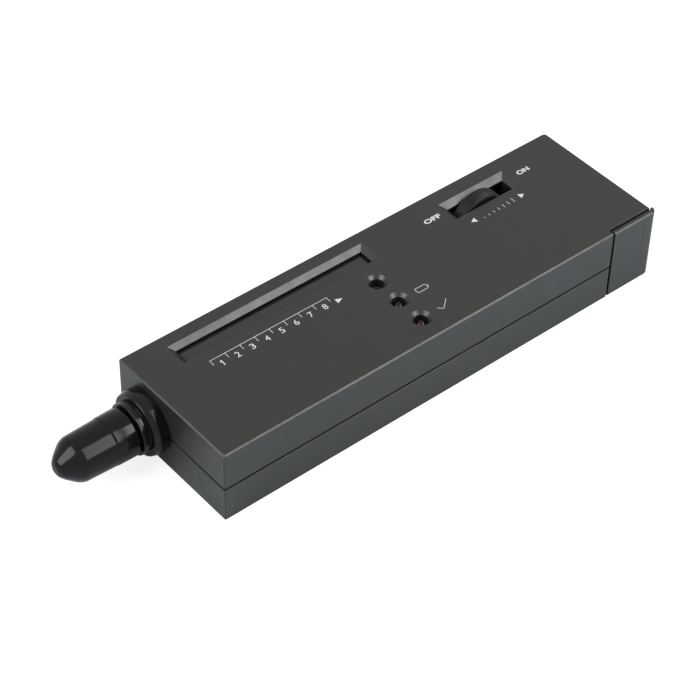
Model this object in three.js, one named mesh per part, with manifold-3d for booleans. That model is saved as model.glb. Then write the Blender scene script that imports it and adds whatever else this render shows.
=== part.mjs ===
// Handheld gem tester: a flat rectangular casing with a sprung copper probe under a slip-on cap,
// a lamp window, a thumbwheel that switches and sets the level, and a 9 V block behind a rear cover.
// Millimetres, +Z up. Inside the group, x runs from the front face to the rear, y from the near
// long side to the far one, and z from the underside.

import * as THREE from 'three';
import { mergeVertices } from 'three/addons/utils/BufferGeometryUtils.js';
import Module from 'manifold-3d';

const wasm = await Module();
wasm.setup();

// Counts
const roundSides = 32;
const smallSides = 16;
const cornerSteps = 3;
const wireSides = 6;
const wireSteps = 14;
const springSides = 5;
const springStepsPerTurn = 8;
const screwSides = 12;
const domeSteps = 4;

// Shared clearances
const overrun = 1;
const seatGap = 0.3;
const slideGap = 0.2;

// Battery block, the size that sets the casing's height
const batteryLength = 48.5;
const batteryWidth = 26.5;
const batteryHeight = 17.5;
const batteryHeadroom = 0.5;
const batterySideGap = 3.48;
const batteryCornerRadius = 2;
const terminalHeight = 2.6;
const terminalSpacing = 12.7;
const plusRadius = 2.9;
const minusRadius = 4.3;
const minusBore = 3.2;

// Casing
const floorThickness = 2;
const roofThickness = 2;
const bodyHeight = floorThickness + batteryHeight + batteryHeadroom + roofThickness;
const seamHeight = 10.1;
const sideWall = 1.9;
const topChamfer = 0.35;
const bottomChamfer = 0.2;
const cornerRadius = 0.4;
const roofRearRadius = 1.2;
const revealHeight = 0.7;
const revealDepth = 0.9;

// Rear battery cover
const batteryRearSpace = 2.4;
const coverLength = 15.5;
const coverGap = 0.7;
const coverTopDrop = 0.35;
const armThickness = 1.3;
const armGap = 0.45;
const coverFloor = 1.7;
const coverRearWall = 1.3;
const coverBottomRadius = 2;
const coverCornerRadius = 2;
const stopThickness = 1.2;
const stopHeight = 12;
const gripStart = 1.8;
const gripLength = 9;
const gripMargin = 1.4;
const gripSpacing = 1.1;
const gripDepth = 0.06;
const gripWidth = 0.8;
const tongueLength = 7;
const tongueThickness = 0.8;
const tongueHeight = 4;
const tongueBottom = 4.5;
const bridgeLength = 3;

// Lamp window in the roof
const windowStart = 11.5;
const windowLength = 61.8;
const windowWidth = 7.08;
const windowFromFarSide = 3.97;
const windowBevel = 1.55;
const windowNearBevel = 0.3;
const windowBevelDepth = 1.2;
const paneThickness = 1.1;
const paneMargin = 1.2;

// Three countersunk holes in the roof: two lamps and the sounder
const lampFromFront = 66.9;
const lampFromNearSide = 7.18;
const sounderFromWindow = 6.62;
const lampConeRadius = 2.8;
const lampHoleRadius = 1.9;
const lampConeDepth = 0.84;
const lampBossRadius = 3.6;
const lampBossDrop = 1;

// Thumbwheel and its slot
const wheelFromRear = 32.4;
const wheelSideGap = 0.625;
const wheelRadius = 8;
const wheelThickness = 3.85;
const wheelRise = 1.4;
const wheelRibCount = 60;
const wheelRibDepth = 0.3;
const ribRootShare = 0.1;
const ribCrownShare = 0.4;
const wheelScrewRecess = 1.1;
const slotLength = 22.9;
const slotWidth = 7.25;
const slotFarReach = 4.375;
const slotShift = 0.95;
const slotBevel = 1.82;
const slotNearBevel = 0.3;
const slotBevelDepth = 1.41;

// Potentiometer behind the wheel
const controlLength = 12;
const controlDepth = 3.3;
const controlSideGap = 1.495;
const controlTopGap = 0.4;
const controlChamfer = 2;
const shaftRadius = 1.6;
const shaftFlange = 2.6;
const shaftFlangeThickness = 0.25;
const shaftBite = 1.9;
const wheelScrewHeadRadius = 2;
const wheelScrewHead = 0.8;
const wheelScrewRadius = 0.6;
const wheelScrewLength = 1.6;
const screwSlotWidth = 0.45;
const screwSlotDepth = 0.4;
const volumeBoardLength = 23;
const volumeBoardWidth = 6.4;
const volumeBoardThickness = 1.4;
const volumeBoardHeight = 2.6;
const volumeBoardShift = -1.3;
const volumeScrewInset = 2.1;

// Probe at the front face
const probeFromFarSide = 11.77;
const probeHeight = 10.9;
const collarRadius = 8.75;
const collarNoseRadius = 8.3;
const collarShoulder = 2.7;
const collarLength = 4.1;
const grooveRadius = 6.5;
const ringStart = 4.7;
const ringEnd = 6.3;
const ringRadius = 7;
const neckRadius = 5.9;
const flangeRadius = 8.3;
const flangeThickness = 2;
const spigotRadius = 5;
const spigotEnd = 15;
const collarBore = 3.5;

// Slip-on cap
const capStart = 6.9;
const capStep = 12.4;
const capShoulder = 21.9;
const capRoundStart = 23.3;
const capBluntStart = 24.7;
const capNoseStart = 26;
const capPointStart = 27;
const capReach = 27.5;
const capMouthRadius = 6.5;
const capStepRadius = 6.42;
const capStepDrop = 0.12;
const capStepLength = 0.35;
const capShoulderRadius = 6.05;
const capRoundRadius = 5.5;
const capBluntRadius = 4.4;
const capNoseRadius = 3.35;
const capPointRadius = 2.3;
const capTipRadius = 1.3;
const capBoreEnd = 19;
const capBoreTip = 25.3;
const capBoreTipRadius = 1.4;

// Sensing nose, plunger and what is behind it
const noseRadius = 3.3;
const noseConeStart = 18;
const noseFront = 21.3;
const noseFrontRadius = 1.5;
const noseRear = 4;
const noseBore = 1.9;
const noseWallEnd = 18.5;
const tipHole = 0.8;
const tipRadius = 0.6;
const tipReach = 25;
const tipPoint = 0.9;
const tipPointRadius = 0.25;
const tipShoulderRadius = 1.6;
const tipShoulderLength = 1.5;
const tipStemRadius = 0.9;
const tipStemEnd = 13;
const tipTravel = 1;
const heaterRadius = 1;
const heaterLength = 1.8;
const plugFront = 8;
const plugRear = 6;
const plugBore = 1;
const springRadius = 1.4;
const springWire = 0.18;
const springTurns = 6;
const probeLeadRadius = 0.35;
const probeLeadSpread = 0.45;

// Main circuit board
const boardStart = 16.8;
const boardNearGap = 1.3;
const boardThickness = 1.6;
const boardPostLength = 7.5;
const boardPostRadius = 2.2;
const boardPostInset = 3.8;
const boardMargin = 5;
const boardRearGap = 0.7;
const boardScrewHeadRadius = 1.9;
const boardScrewHead = 1.2;
const boardScrewRadius = 0.85;
const boardScrewLength = 5;
const screwRunGap = 0.15;
const pilotExtra = 1;

// Parts on the board
const scaleLampCount = 12;
const scaleStart = 16.7;
const scaleSpacing = 4.55;
const scaleLampGap = 0.6;
const scaleLampWidth = 2.9;
const scaleLampHeight = 5.2;
const legThickness = 0.5;
const lampRadius = 1.5;
const lampFlangeRadius = 1.9;
const lampFlangeThickness = 0.9;
const lampStandoff = 2.4;
const lampTopDrop = 1.15;
const lampLegSpacing = 1.27;
const sounderGap = 0.75;
const sounderHole = 1.4;
const sounderHoleDepth = 1.2;
const chipFromFront = 36;
const chipFromNearSide = 11.5;
const chipWidth = 6.4;
const chipHeight = 3.3;
const chipStandoff = 0.5;
const chipPinSpacing = 2.54;
const chipPinWidth = 0.6;
const chipPinThickness = 0.3;
const chipPinDrop = 1.6;
const driverPairCount = 9;
const amplifierPairCount = 4;
const amplifierFromFront = 33;
const amplifierFromNearSide = 23.4;
const trimmerFromFront = 55.5;
const trimmerFromNearSide = 9.5;
const trimmerSize = 6.8;
const trimmerHeight = 4.6;
const trimmerScrewRadius = 2;
const capacitorFromFront = 46.5;
const capacitorSpacing = 7;
const capacitorFromNearSide = 23.5;
const capacitorRadius = 2.6;
const capacitorHeight = 6.8;
const capacitorRimDrop = 0.6;

// Touch plate under the casing and its spring
const plateFromFront = 24;
const plateLength = 44;
const plateWidth = 16;
const plateThickness = 0.5;
const plateSink = 0.3;
const plateCornerRadius = 2;
const platePostHole = 2.6;
const contactSpringRadius = 1.9;
const contactSpringWire = 0.25;
const contactSpringTurns = 6;
const contactSpringEnd = 0.1;

// Battery clip and wiring
const clipThickness = 2.2;
const clipMargin = 0.9;
const clipHeight = 13;
const socketWall = 0.6;
const studRadius = 2.7;
const snapGap = 0.25;
const leadRadius = 0.6;
const leadDrop = 3;
const leadSpacing = 1.9;

// Partition, guide rib and screws of the casing
const partitionThickness = 1.2;
const partitionGap = 2.8;
const guideRibThickness = 1.1;
const guideRibHeight = 4;
const casePostRadius = 3.1;
const casePostInset = 6;
const mergeDepth = 0.5;
const caseScrewSeat = 6;
const caseScrewHeadRadius = 2.4;
const caseScrewHead = 1.6;
const caseScrewRadius = 1;
const caseScrewLength = 10.5;
const crossLength = 2.6;
const rearPostFromCover = 3.8;
const rearPostFromFarSide = 6.6;

// Across the casing: the battery, the wheel and the control side by side between the walls
const batteryMiddle = batterySideGap + batteryWidth / 2;
const batteryFarSide = batterySideGap + batteryWidth;
const wheelNear = batteryFarSide + wheelSideGap;
const wheelY = wheelNear + wheelThickness / 2;
const wheelFar = wheelNear + wheelThickness;
const controlNear = wheelFar + 2 * seatGap;
const volumeBoardFar = controlNear + controlDepth;
const volumeBoardMiddle = volumeBoardFar - volumeBoardWidth / 2;
const bodyWidth = volumeBoardFar + controlSideGap + sideWall;
const boardNear = sideWall + boardNearGap;
const boardFar = bodyWidth - boardNear;
const windowFar = bodyWidth - windowFromFarSide;
const windowNear = windowFar - windowWidth;
const openingNear = windowNear + windowNearBevel;
const openingFar = windowFar - windowBevel;
const windowMiddle = (openingNear + openingFar) / 2;
const sounderY = windowNear - sounderFromWindow;
const lampY = [lampFromNearSide, (lampFromNearSide + sounderY) / 2];
const sounderRadius = sounderY - lampY[1] - lampFlangeRadius - sounderGap;
const probeY = bodyWidth - probeFromFarSide;

// Along the casing: the board, the partition, the clip and the battery from front to rear
const boardEnd = lampFromFront + sounderRadius + boardMargin;
const casePostX = boardEnd + boardRearGap + casePostRadius;
const partitionFront = casePostX + casePostRadius - mergeDepth;
const partitionRear = partitionFront + partitionThickness;
const clipFront = partitionRear + partitionGap;
const batteryStart = clipFront + clipThickness + seatGap;
const batteryEnd = batteryStart + batteryLength;
const bodyLength = batteryEnd + batteryRearSpace;
const coverEnd = bodyLength + coverRearWall;
const coverStart = coverEnd - coverLength;
const shellEnd = coverStart - coverGap;
const wheelX = bodyLength - wheelFromRear;
const volumeBoardStart = wheelX - volumeBoardLength / 2 + volumeBoardShift;

// Up from the underside
const roofUnder = bodyHeight - roofThickness;
const paneBottom = roofUnder - paneThickness;
const boardTop = roofUnder - boardPostLength;
const boardBottom = boardTop - boardThickness;
const batteryMidHeight = floorThickness + batteryHeight / 2;
const postRoot = floorThickness - mergeDepth;
const wheelZ = bodyHeight + wheelRise - wheelRadius;
const volumeBoardBottom = floorThickness + volumeBoardHeight;
const volumeBoardTop = volumeBoardBottom + volumeBoardThickness;

// Casing screws: front near corner, both sides ahead of the battery, and beside the cover
const casePosts = [
  [casePostInset + sideWall, casePostInset],
  [casePostX, casePostInset],
  [casePostX, bodyWidth - casePostInset],
  [shellEnd - rearPostFromCover, bodyWidth - rearPostFromFarSide],
];

// Board screws: two at the front end and one at the rear, clear of the lamps and the window
const boardPosts = [
  [boardStart + boardPostInset, boardNear + boardPostInset],
  [boardStart + boardPostInset, windowNear - boardPostInset],
  [boardEnd - boardPostInset + boardRearGap, (lampY[0] + lampY[1]) / 2],
];

// Solids from geometry, with the winding set so that every volume is positive

function solid(geometry) {
  const bare = geometry.clone();
  bare.deleteAttribute('normal');
  bare.deleteAttribute('uv');
  const merged = mergeVertices(bare);
  const corners = merged.index.array;
  const places = merged.attributes.position;
  const [a, b, c] = [new THREE.Vector3(), new THREE.Vector3(), new THREE.Vector3()];
  const kept = [];
  let volume = 0;
  for (let start = 0; start < corners.length; start += 3) {
    const [i, j, k] = corners.slice(start, start + 3);
    if (i === j || j === k || k === i) continue;
    kept.push([i, j, k]);
    a.fromBufferAttribute(places, i);
    b.fromBufferAttribute(places, j);
    c.fromBufferAttribute(places, k);
    volume += a.dot(b.cross(c));
  }
  const triangles = volume < 0 ? kept.map(([i, j, k]) => [i, k, j]) : kept;
  return new wasm.Manifold(new wasm.Mesh({
    numProp: 3,
    vertProperties: new Float32Array(places.array),
    triVerts: new Uint32Array(triangles.flat()),
  }));
}

function join(...solids) {
  return solids.reduce((whole, next) => whole.add(next));
}

function cut(whole, ...tools) {
  return tools.reduce((rest, tool) => rest.subtract(tool), whole);
}

function block(xMin, xMax, yMin, yMax, zMin, zMax) {
  const geometry = new THREE.BoxGeometry(xMax - xMin, yMax - yMin, zMax - zMin);
  geometry.translate((xMin + xMax) / 2, (yMin + yMax) / 2, (zMin + zMax) / 2);
  return solid(geometry);
}

function rodX(radius, xMin, xMax, y, z, sides = smallSides) {
  const geometry = new THREE.CylinderGeometry(radius, radius, xMax - xMin, sides);
  geometry.rotateZ(-Math.PI / 2);
  return solid(geometry.translate((xMin + xMax) / 2, y, z));
}

function rodY(radius, yMin, yMax, x, z, sides = smallSides) {
  const geometry = new THREE.CylinderGeometry(radius, radius, yMax - yMin, sides);
  return solid(geometry.translate(x, (yMin + yMax) / 2, z));
}

function rodZ(radius, zMin, zMax, x, y, sides = smallSides) {
  const geometry = new THREE.CylinderGeometry(radius, radius, zMax - zMin, sides);
  geometry.rotateX(Math.PI / 2);
  return solid(geometry.translate(x, y, (zMin + zMax) / 2));
}

// A solid of revolution on an axis along x: the profile holds [x, radius] pairs
function turnedX(profile, y, z, sides = roundSides) {
  const points = profile.map(([along, radius]) => new THREE.Vector2(radius, along));
  const geometry = new THREE.LatheGeometry(points, sides);
  geometry.rotateZ(-Math.PI / 2);
  return solid(geometry.translate(0, y, z));
}

// A solid of revolution on an axis along z: the profile holds [radius, z] pairs
function turnedZ(profile, x, y, sides = smallSides) {
  const points = profile.map(([radius, along]) => new THREE.Vector2(radius, along));
  const geometry = new THREE.LatheGeometry(points, sides);
  geometry.rotateX(Math.PI / 2);
  return solid(geometry.translate(x, y, 0));
}

// A rectangle in x and y, each corner with its own radius
function roundedOutline(xMin, xMax, yMin, yMax, frontRadius, rearRadius) {
  const quarter = Math.PI / 2;
  const outline = new THREE.Shape();
  outline.absarc(xMax - rearRadius, yMin + rearRadius, rearRadius, -quarter, 0);
  outline.absarc(xMax - rearRadius, yMax - rearRadius, rearRadius, 0, quarter);
  outline.absarc(xMin + frontRadius, yMax - frontRadius, frontRadius, quarter, 2 * quarter);
  outline.absarc(xMin + frontRadius, yMin + frontRadius, frontRadius, 2 * quarter, 3 * quarter);
  return outline;
}

function plate(outline, zMin, zMax) {
  const settings = { depth: zMax - zMin, bevelEnabled: false, curveSegments: cornerSteps };
  return solid(new THREE.ExtrudeGeometry(outline, settings).translate(0, 0, zMin));
}

// A block on the casing's outline, with chamfered edges
function bodyBlock(length, height, rearRadius, chamfer) {
  const outline = roundedOutline(0, length, 0, bodyWidth, cornerRadius, rearRadius);
  const geometry = new THREE.ExtrudeGeometry(outline, {
    depth: height - 2 * chamfer,
    bevelThickness: chamfer,
    bevelSize: chamfer,
    bevelOffset: -chamfer,
    bevelSegments: 1,
    curveSegments: cornerSteps,
  });
  return solid(geometry.translate(0, 0, chamfer));
}

// A rectangular countersink from the roof's face, with its own bevel on the near side
function countersink(xMin, xMax, yMin, yMax, bevel, nearBevel, depth) {
  const top = bodyHeight + overrun;
  const bottom = bodyHeight - depth;
  const geometry = new THREE.BoxGeometry(xMax - xMin, yMax - yMin, top - bottom);
  const places = geometry.attributes.position;
  for (let index = 0; index < places.count; index += 1) {
    const [x, y] = [places.getX(index), places.getY(index)];
    const share = places.getZ(index) > 0 ? overrun / depth : -1;
    places.setX(index, x + Math.sign(x) * share * bevel);
    places.setY(index, y + Math.sign(y) * share * (y < 0 ? nearBevel : bevel));
  }
  geometry.translate((xMin + xMax) / 2, (yMin + yMax) / 2, (top + bottom) / 2);
  return solid(geometry);
}

// A wire through hand-set points, each [x, y, z]
function wire(points, radius) {
  const path = new THREE.CatmullRomCurve3(points.map((point) => new THREE.Vector3(...point)));
  return sweep(path, radius, wireSteps, wireSides);
}

function sweep(path, radius, steps, sides) {
  const corners = [];
  for (let corner = 0; corner < sides; corner += 1) {
    const angle = corner / sides * 2 * Math.PI;
    corners.push(new THREE.Vector2(radius * Math.cos(angle), radius * Math.sin(angle)));
  }
  const settings = { steps, extrudePath: path };
  return solid(new THREE.ExtrudeGeometry(new THREE.Shape(corners), settings));
}

class Helix extends THREE.Curve {
  constructor(start, axis, radius, length, turns) {
    super();
    Object.assign(this, { start, axis, radius, length, turns });
  }

  getPoint(share) {
    const angle = share * this.turns * 2 * Math.PI;
    const across = new THREE.Vector3(0, Math.cos(angle), Math.sin(angle));
    if (this.axis === 'z') across.set(Math.cos(angle), Math.sin(angle), 0);
    const along = new THREE.Vector3(this.axis === 'x' ? 1 : 0, 0, this.axis === 'z' ? 1 : 0);
    return this.start.clone().addScaledVector(across, this.radius)
      .addScaledVector(along, share * this.length);
  }
}

function coilSpring(start, axis, radius, wireRadius, length, turns) {
  return sweep(new Helix(start, axis, radius, length, turns), wireRadius,
    turns * springStepsPerTurn, springSides);
}

// A screw along z: head below its seat, shank above, and a cross cut in the head
function screwUp(x, y, seat, headRadius, head, radius, length) {
  const crown = seat - head;
  const profile = [
    [0, crown], [headRadius, crown], [headRadius, seat], [radius, seat],
    [radius, seat + length - radius], [0, seat + length],
  ];
  const cross = crossLength * headRadius / caseScrewHeadRadius / 2;
  const half = screwSlotWidth / 2;
  const deep = crown + screwSlotDepth;
  return cut(
    turnedZ(profile, x, y, screwSides),
    block(x - cross, x + cross, y - half, y + half, crown - overrun, deep),
    block(x - half, x + half, y - cross, y + cross, crown - overrun, deep),
  );
}

// Casing

function makeTopShell() {
  const above = block(-overrun, bodyLength + overrun, -overrun, bodyWidth + overrun,
    seamHeight, bodyHeight + overrun);
  const cavity = block(sideWall, bodyLength + overrun, sideWall, bodyWidth - sideWall,
    seamHeight - overrun, roofUnder);
  const reveal = cut(
    block(-overrun, shellEnd + overrun, -overrun, bodyWidth + overrun,
      seamHeight - overrun, seamHeight + revealHeight),
    block(revealDepth, shellEnd + 2 * overrun, revealDepth, bodyWidth - revealDepth,
      seamHeight - 2 * overrun, seamHeight + revealHeight + overrun),
  );
  const notch = armThickness + armGap;
  const underRoof = block(shellEnd, bodyLength + overrun, -overrun, bodyWidth + overrun,
    seamHeight - overrun, roofUnder);
  const nearNotch = block(shellEnd, bodyLength + overrun, -overrun, notch,
    seamHeight - overrun, bodyHeight + overrun);
  const outer = bodyBlock(bodyLength, bodyHeight, roofRearRadius, topChamfer).intersect(above);
  let shell = cut(outer, cavity, reveal, underRoof, nearNotch);

  const posts = casePosts.map(([x, y]) => rodZ(casePostRadius, seamHeight, roofUnder, x, y));
  const boardSupports = boardPosts.map(([x, y]) => rodZ(boardPostRadius, boardTop, roofUnder, x, y));
  const lampBosses = [...lampY, sounderY].map((y) => (
    rodZ(lampBossRadius, roofUnder - lampBossDrop, roofUnder, lampFromFront, y, roundSides)));
  shell = join(shell, ...posts, ...boardSupports, ...lampBosses);

  const pilots = casePosts.map(([x, y]) => rodZ(caseScrewRadius + screwRunGap, seamHeight - overrun,
    caseScrewSeat + caseScrewLength + pilotExtra, x, y));
  const boardPilots = boardPosts.map(([x, y]) => rodZ(boardScrewRadius + screwRunGap,
    boardTop - overrun, boardBottom + boardScrewLength + pilotExtra, x, y));
  shell = cut(shell, ...pilots, ...boardPilots, ...[...lampY, sounderY].map(lampHole));
  return cut(shell, ...windowCuts(), ...slotCuts(), collarOpening());
}

function lampHole(y) {
  const spread = (lampConeRadius - lampHoleRadius) * overrun / lampConeDepth;
  const coneBottom = bodyHeight - lampConeDepth;
  return turnedZ([
    [0, roofUnder - lampBossDrop - overrun],
    [lampHoleRadius, roofUnder - lampBossDrop - overrun],
    [lampHoleRadius, coneBottom],
    [lampConeRadius + spread, bodyHeight + overrun],
    [0, bodyHeight + overrun],
  ], lampFromFront, y, roundSides);
}

function windowCuts() {
  const windowEnd = windowStart + windowLength;
  return [
    countersink(windowStart, windowEnd, windowNear, windowFar, windowBevel, windowNearBevel,
      windowBevelDepth),
    block(windowStart + windowBevel, windowEnd - windowBevel, openingNear, openingFar,
      roofUnder - overrun, bodyHeight),
  ];
}

function slotCuts() {
  const middle = wheelX + slotShift;
  const [front, rear] = [middle - slotLength / 2, middle + slotLength / 2];
  const far = wheelY + slotFarReach;
  const near = far - slotWidth;
  return [
    countersink(front, rear, near, far, slotBevel, slotNearBevel, slotBevelDepth),
    block(front + slotBevel, rear - slotBevel, near + slotNearBevel, far - slotBevel,
      roofUnder - overrun, bodyHeight),
  ];
}

function collarOpening() {
  return rodX(neckRadius + slideGap, -overrun, sideWall + overrun, probeY, probeHeight, roundSides);
}

function makeBottomShell() {
  const below = block(-overrun, shellEnd, -overrun, bodyWidth + overrun, -overrun, seamHeight);
  const cavity = block(sideWall, bodyLength, sideWall, bodyWidth - sideWall,
    floorThickness, seamHeight + overrun);
  const posts = casePosts.map(([x, y]) => rodZ(casePostRadius, postRoot, seamHeight, x, y));
  const partition = block(partitionFront, partitionRear, sideWall - mergeDepth, batteryFarSide,
    postRoot, seamHeight);
  const ribNear = batteryFarSide + slideGap;
  const guideRib = block(batteryStart, shellEnd, ribNear, ribNear + guideRibThickness,
    postRoot, floorThickness + guideRibHeight);
  const volumeBosses = volumeScrewPlaces().map(([x, y]) => (
    rodZ(volumeScrewInset, postRoot, volumeBoardBottom, x, y)));
  const outer = bodyBlock(bodyLength, bodyHeight, cornerRadius, bottomChamfer).intersect(below);
  let shell = cut(outer, cavity);
  shell = join(shell, ...posts, partition, guideRib, ...volumeBosses);

  const screwHoles = casePosts.flatMap(([x, y]) => [
    rodZ(caseScrewHeadRadius + slideGap, -overrun, caseScrewSeat, x, y),
    rodZ(caseScrewRadius + 2 * slideGap, 0, seamHeight + overrun, x, y),
  ]);
  const volumePilots = volumeScrewPlaces().map(([x, y]) => rodZ(boardScrewRadius + screwRunGap,
    floorThickness, volumeBoardBottom + overrun, x, y));
  const pocket = plate(touchOutline(0), -overrun, plateSink + plateThickness);
  const springHole = rodZ(platePostHole, 0, floorThickness + overrun, ...touchCentre());
  return cut(shell, ...screwHoles, ...volumePilots, pocket, springHole, collarOpening());
}

function volumeScrewPlaces() {
  const front = volumeBoardStart + volumeScrewInset;
  const rear = volumeBoardStart + volumeBoardLength - volumeScrewInset;
  return [front, rear].map((x) => [x, volumeBoardMiddle]);
}

function touchOutline(margin) {
  const middle = bodyWidth / 2;
  return roundedOutline(plateFromFront + margin, plateFromFront + plateLength - margin,
    middle - plateWidth / 2 + margin, middle + plateWidth / 2 - margin,
    plateCornerRadius, plateCornerRadius);
}

function touchCentre() {
  return [plateFromFront + plateLength / 2, bodyWidth / 2];
}

// The near arm and its rear corner reach the roof's height; the far arm and the rear wall stay under it
function makeBatteryCover() {
  const rearPart = block(coverStart, coverEnd + overrun, -overrun, bodyWidth + overrun,
    -overrun, bodyHeight + overrun);
  const outer = bodyBlock(coverEnd, bodyHeight - coverTopDrop, coverCornerRadius, topChamfer)
    .intersect(rearPart).intersect(sideProfile());
  const inside = block(coverStart - overrun, bodyLength,
    armThickness, bodyWidth - armThickness, coverFloor, bodyHeight + overrun);
  const roofSpace = join(
    block(coverStart - overrun, bodyLength + slideGap, armThickness, bodyWidth + overrun,
      roofUnder - slideGap, bodyHeight + overrun),
    block(coverStart - overrun, coverEnd + overrun, armThickness + armGap, bodyWidth + overrun,
      roofUnder - slideGap, bodyHeight + overrun),
  );
  const grooves = [];
  const gripTop = bodyHeight - coverTopDrop - gripMargin;
  for (let z = gripMargin; z < gripTop; z += gripSpacing) {
    grooves.push(...gripGroove(z));
  }
  return join(cut(outer, inside, roofSpace, ...grooves), ...coverTongues(), ...batteryStops());
}

// The cover seen from the side: its lower rear edge is rounded
function sideProfile() {
  const quarter = Math.PI / 2;
  const outline = new THREE.Shape();
  outline.moveTo(coverStart, 0);
  outline.lineTo(coverEnd - coverBottomRadius, 0);
  outline.absarc(coverEnd - coverBottomRadius, coverBottomRadius, coverBottomRadius, -quarter, 0);
  outline.lineTo(coverEnd, bodyHeight);
  outline.lineTo(coverStart, bodyHeight);
  const settings = { depth: bodyWidth, bevelEnabled: false, curveSegments: cornerSteps };
  const geometry = new THREE.ExtrudeGeometry(outline, settings);
  return solid(geometry.rotateX(quarter).translate(0, bodyWidth, 0));
}

// One shallow groove in each arm's outer face, cut by a flattened bar that stands on its edge
function gripGroove(z) {
  const side = Math.SQRT1_2 * gripWidth;
  const middle = coverStart + gripStart + gripLength / 2;
  return [0, bodyWidth].map((y) => {
    const bar = new THREE.BoxGeometry(gripLength, side, side).rotateX(Math.PI / 4);
    bar.scale(1, gripDepth / (gripWidth / 2), 1);
    return solid(bar.translate(middle, y, z));
  });
}

// Two tongues that slide inside the casing's side walls
function coverTongues() {
  const inner = sideWall + slideGap;
  const top = tongueBottom + tongueHeight;
  const nearTongue = join(
    block(coverStart - tongueLength, coverStart + bridgeLength, inner, inner + tongueThickness,
      tongueBottom, top),
    block(coverStart, coverStart + bridgeLength, armThickness / 2, inner + tongueThickness,
      tongueBottom, top),
  );
  const farTongue = join(
    block(coverStart - tongueLength, coverStart + bridgeLength,
      bodyWidth - inner - tongueThickness, bodyWidth - inner, tongueBottom, top),
    block(coverStart, coverStart + bridgeLength,
      bodyWidth - inner - tongueThickness, bodyWidth - armThickness / 2, tongueBottom, top),
  );
  return [nearTongue, farTongue];
}

// Two ribs on the rear wall that hold the battery against its clip
function batteryStops() {
  return [-1, 1].map((side) => {
    const middle = batteryMiddle + side * batteryWidth / 4;
    return block(batteryEnd + seatGap, bodyLength + mergeDepth, middle - stopThickness / 2,
      middle + stopThickness / 2, coverFloor - mergeDepth, stopHeight);
  });
}

function makeWindowPane() {
  const inset = windowBevel - paneMargin;
  return block(windowStart + inset, windowStart + windowLength - inset,
    openingNear - paneMargin, openingFar + paneMargin, paneBottom, roofUnder);
}

function makeTouchPlate() {
  return plate(touchOutline(slideGap), plateSink, plateSink + plateThickness);
}

function makeContactSpring() {
  const [x, y] = touchCentre();
  const bottom = plateSink + plateThickness + contactSpringWire + contactSpringEnd;
  const top = boardBottom - contactSpringWire - contactSpringEnd;
  return coilSpring(new THREE.Vector3(x, y, bottom), 'z', contactSpringRadius, contactSpringWire,
    top - bottom, contactSpringTurns);
}

function makeCaseScrew(x, y) {
  return screwUp(x, y, caseScrewSeat, caseScrewHeadRadius, caseScrewHead, caseScrewRadius,
    caseScrewLength);
}

// Probe: every place along its axis is a distance in front of the casing's face

function makeCollar() {
  return turnedX([
    [-spigotEnd, collarBore], [-spigotEnd, spigotRadius], [-ringEnd, spigotRadius],
    [-ringEnd, ringRadius], [-ringStart, ringRadius], [-ringStart, grooveRadius],
    [-collarLength, grooveRadius], [-collarLength, collarNoseRadius],
    [-collarShoulder, collarRadius], [0, collarRadius], [0, neckRadius],
    [sideWall, neckRadius], [sideWall, flangeRadius], [sideWall + flangeThickness, flangeRadius],
    [sideWall + flangeThickness, collarBore], [-spigotEnd, collarBore],
  ], probeY, probeHeight);
}

function makeCap() {
  const bore = spigotRadius + slideGap;
  return turnedX([
    [-capReach, 0], [-capReach, capTipRadius], [-capPointStart, capPointRadius],
    [-capNoseStart, capNoseRadius], [-capBluntStart, capBluntRadius],
    [-capRoundStart, capRoundRadius], [-capShoulder, capShoulderRadius],
    [-capStep, capStepRadius - capStepDrop], [-capStep + capStepLength, capStepRadius],
    [-capStart, capMouthRadius], [-capStart, bore],
    [-capBoreEnd, bore], [-capBoreTip, capBoreTipRadius], [-capBoreTip, 0],
  ], probeY, probeHeight);
}

function makeNose() {
  return turnedX([
    [-noseFront, tipHole], [-noseFront, noseFrontRadius], [-noseConeStart, noseRadius],
    [-noseRear, noseRadius], [-noseRear, noseBore], [-noseWallEnd, noseBore],
    [-noseWallEnd, tipHole], [-noseFront, tipHole],
  ], probeY, probeHeight, smallSides);
}

function makeTip() {
  const shoulderFront = noseWallEnd - seatGap;
  const shoulderRear = shoulderFront - tipShoulderLength;
  return turnedX([
    [-tipReach, 0], [-tipReach, tipPointRadius], [-tipReach + tipPoint, tipRadius],
    [-shoulderFront, tipRadius], [-shoulderFront, tipShoulderRadius],
    [-shoulderRear, tipShoulderRadius], [-shoulderRear, tipStemRadius],
    [-tipStemEnd, tipStemRadius], [-tipStemEnd, 0],
  ], probeY, probeHeight, smallSides);
}

function makeHeater() {
  return rodX(heaterRadius, -tipStemEnd, heaterLength - tipStemEnd, probeY, probeHeight);
}

function makePlug() {
  return turnedX([
    [-plugFront, plugBore], [-plugFront, noseBore - slideGap / 2], [-plugRear, noseBore - slideGap / 2],
    [-plugRear, plugBore], [-plugFront, plugBore],
  ], probeY, probeHeight, smallSides);
}

function makeTipSpring() {
  const shoulderRear = noseWallEnd - seatGap - tipShoulderLength;
  const front = -shoulderRear + springWire + slideGap;
  const rear = -plugFront - springWire - slideGap;
  return coilSpring(new THREE.Vector3(front, probeY, probeHeight), 'x', springRadius, springWire,
    rear - front, springTurns);
}

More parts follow.
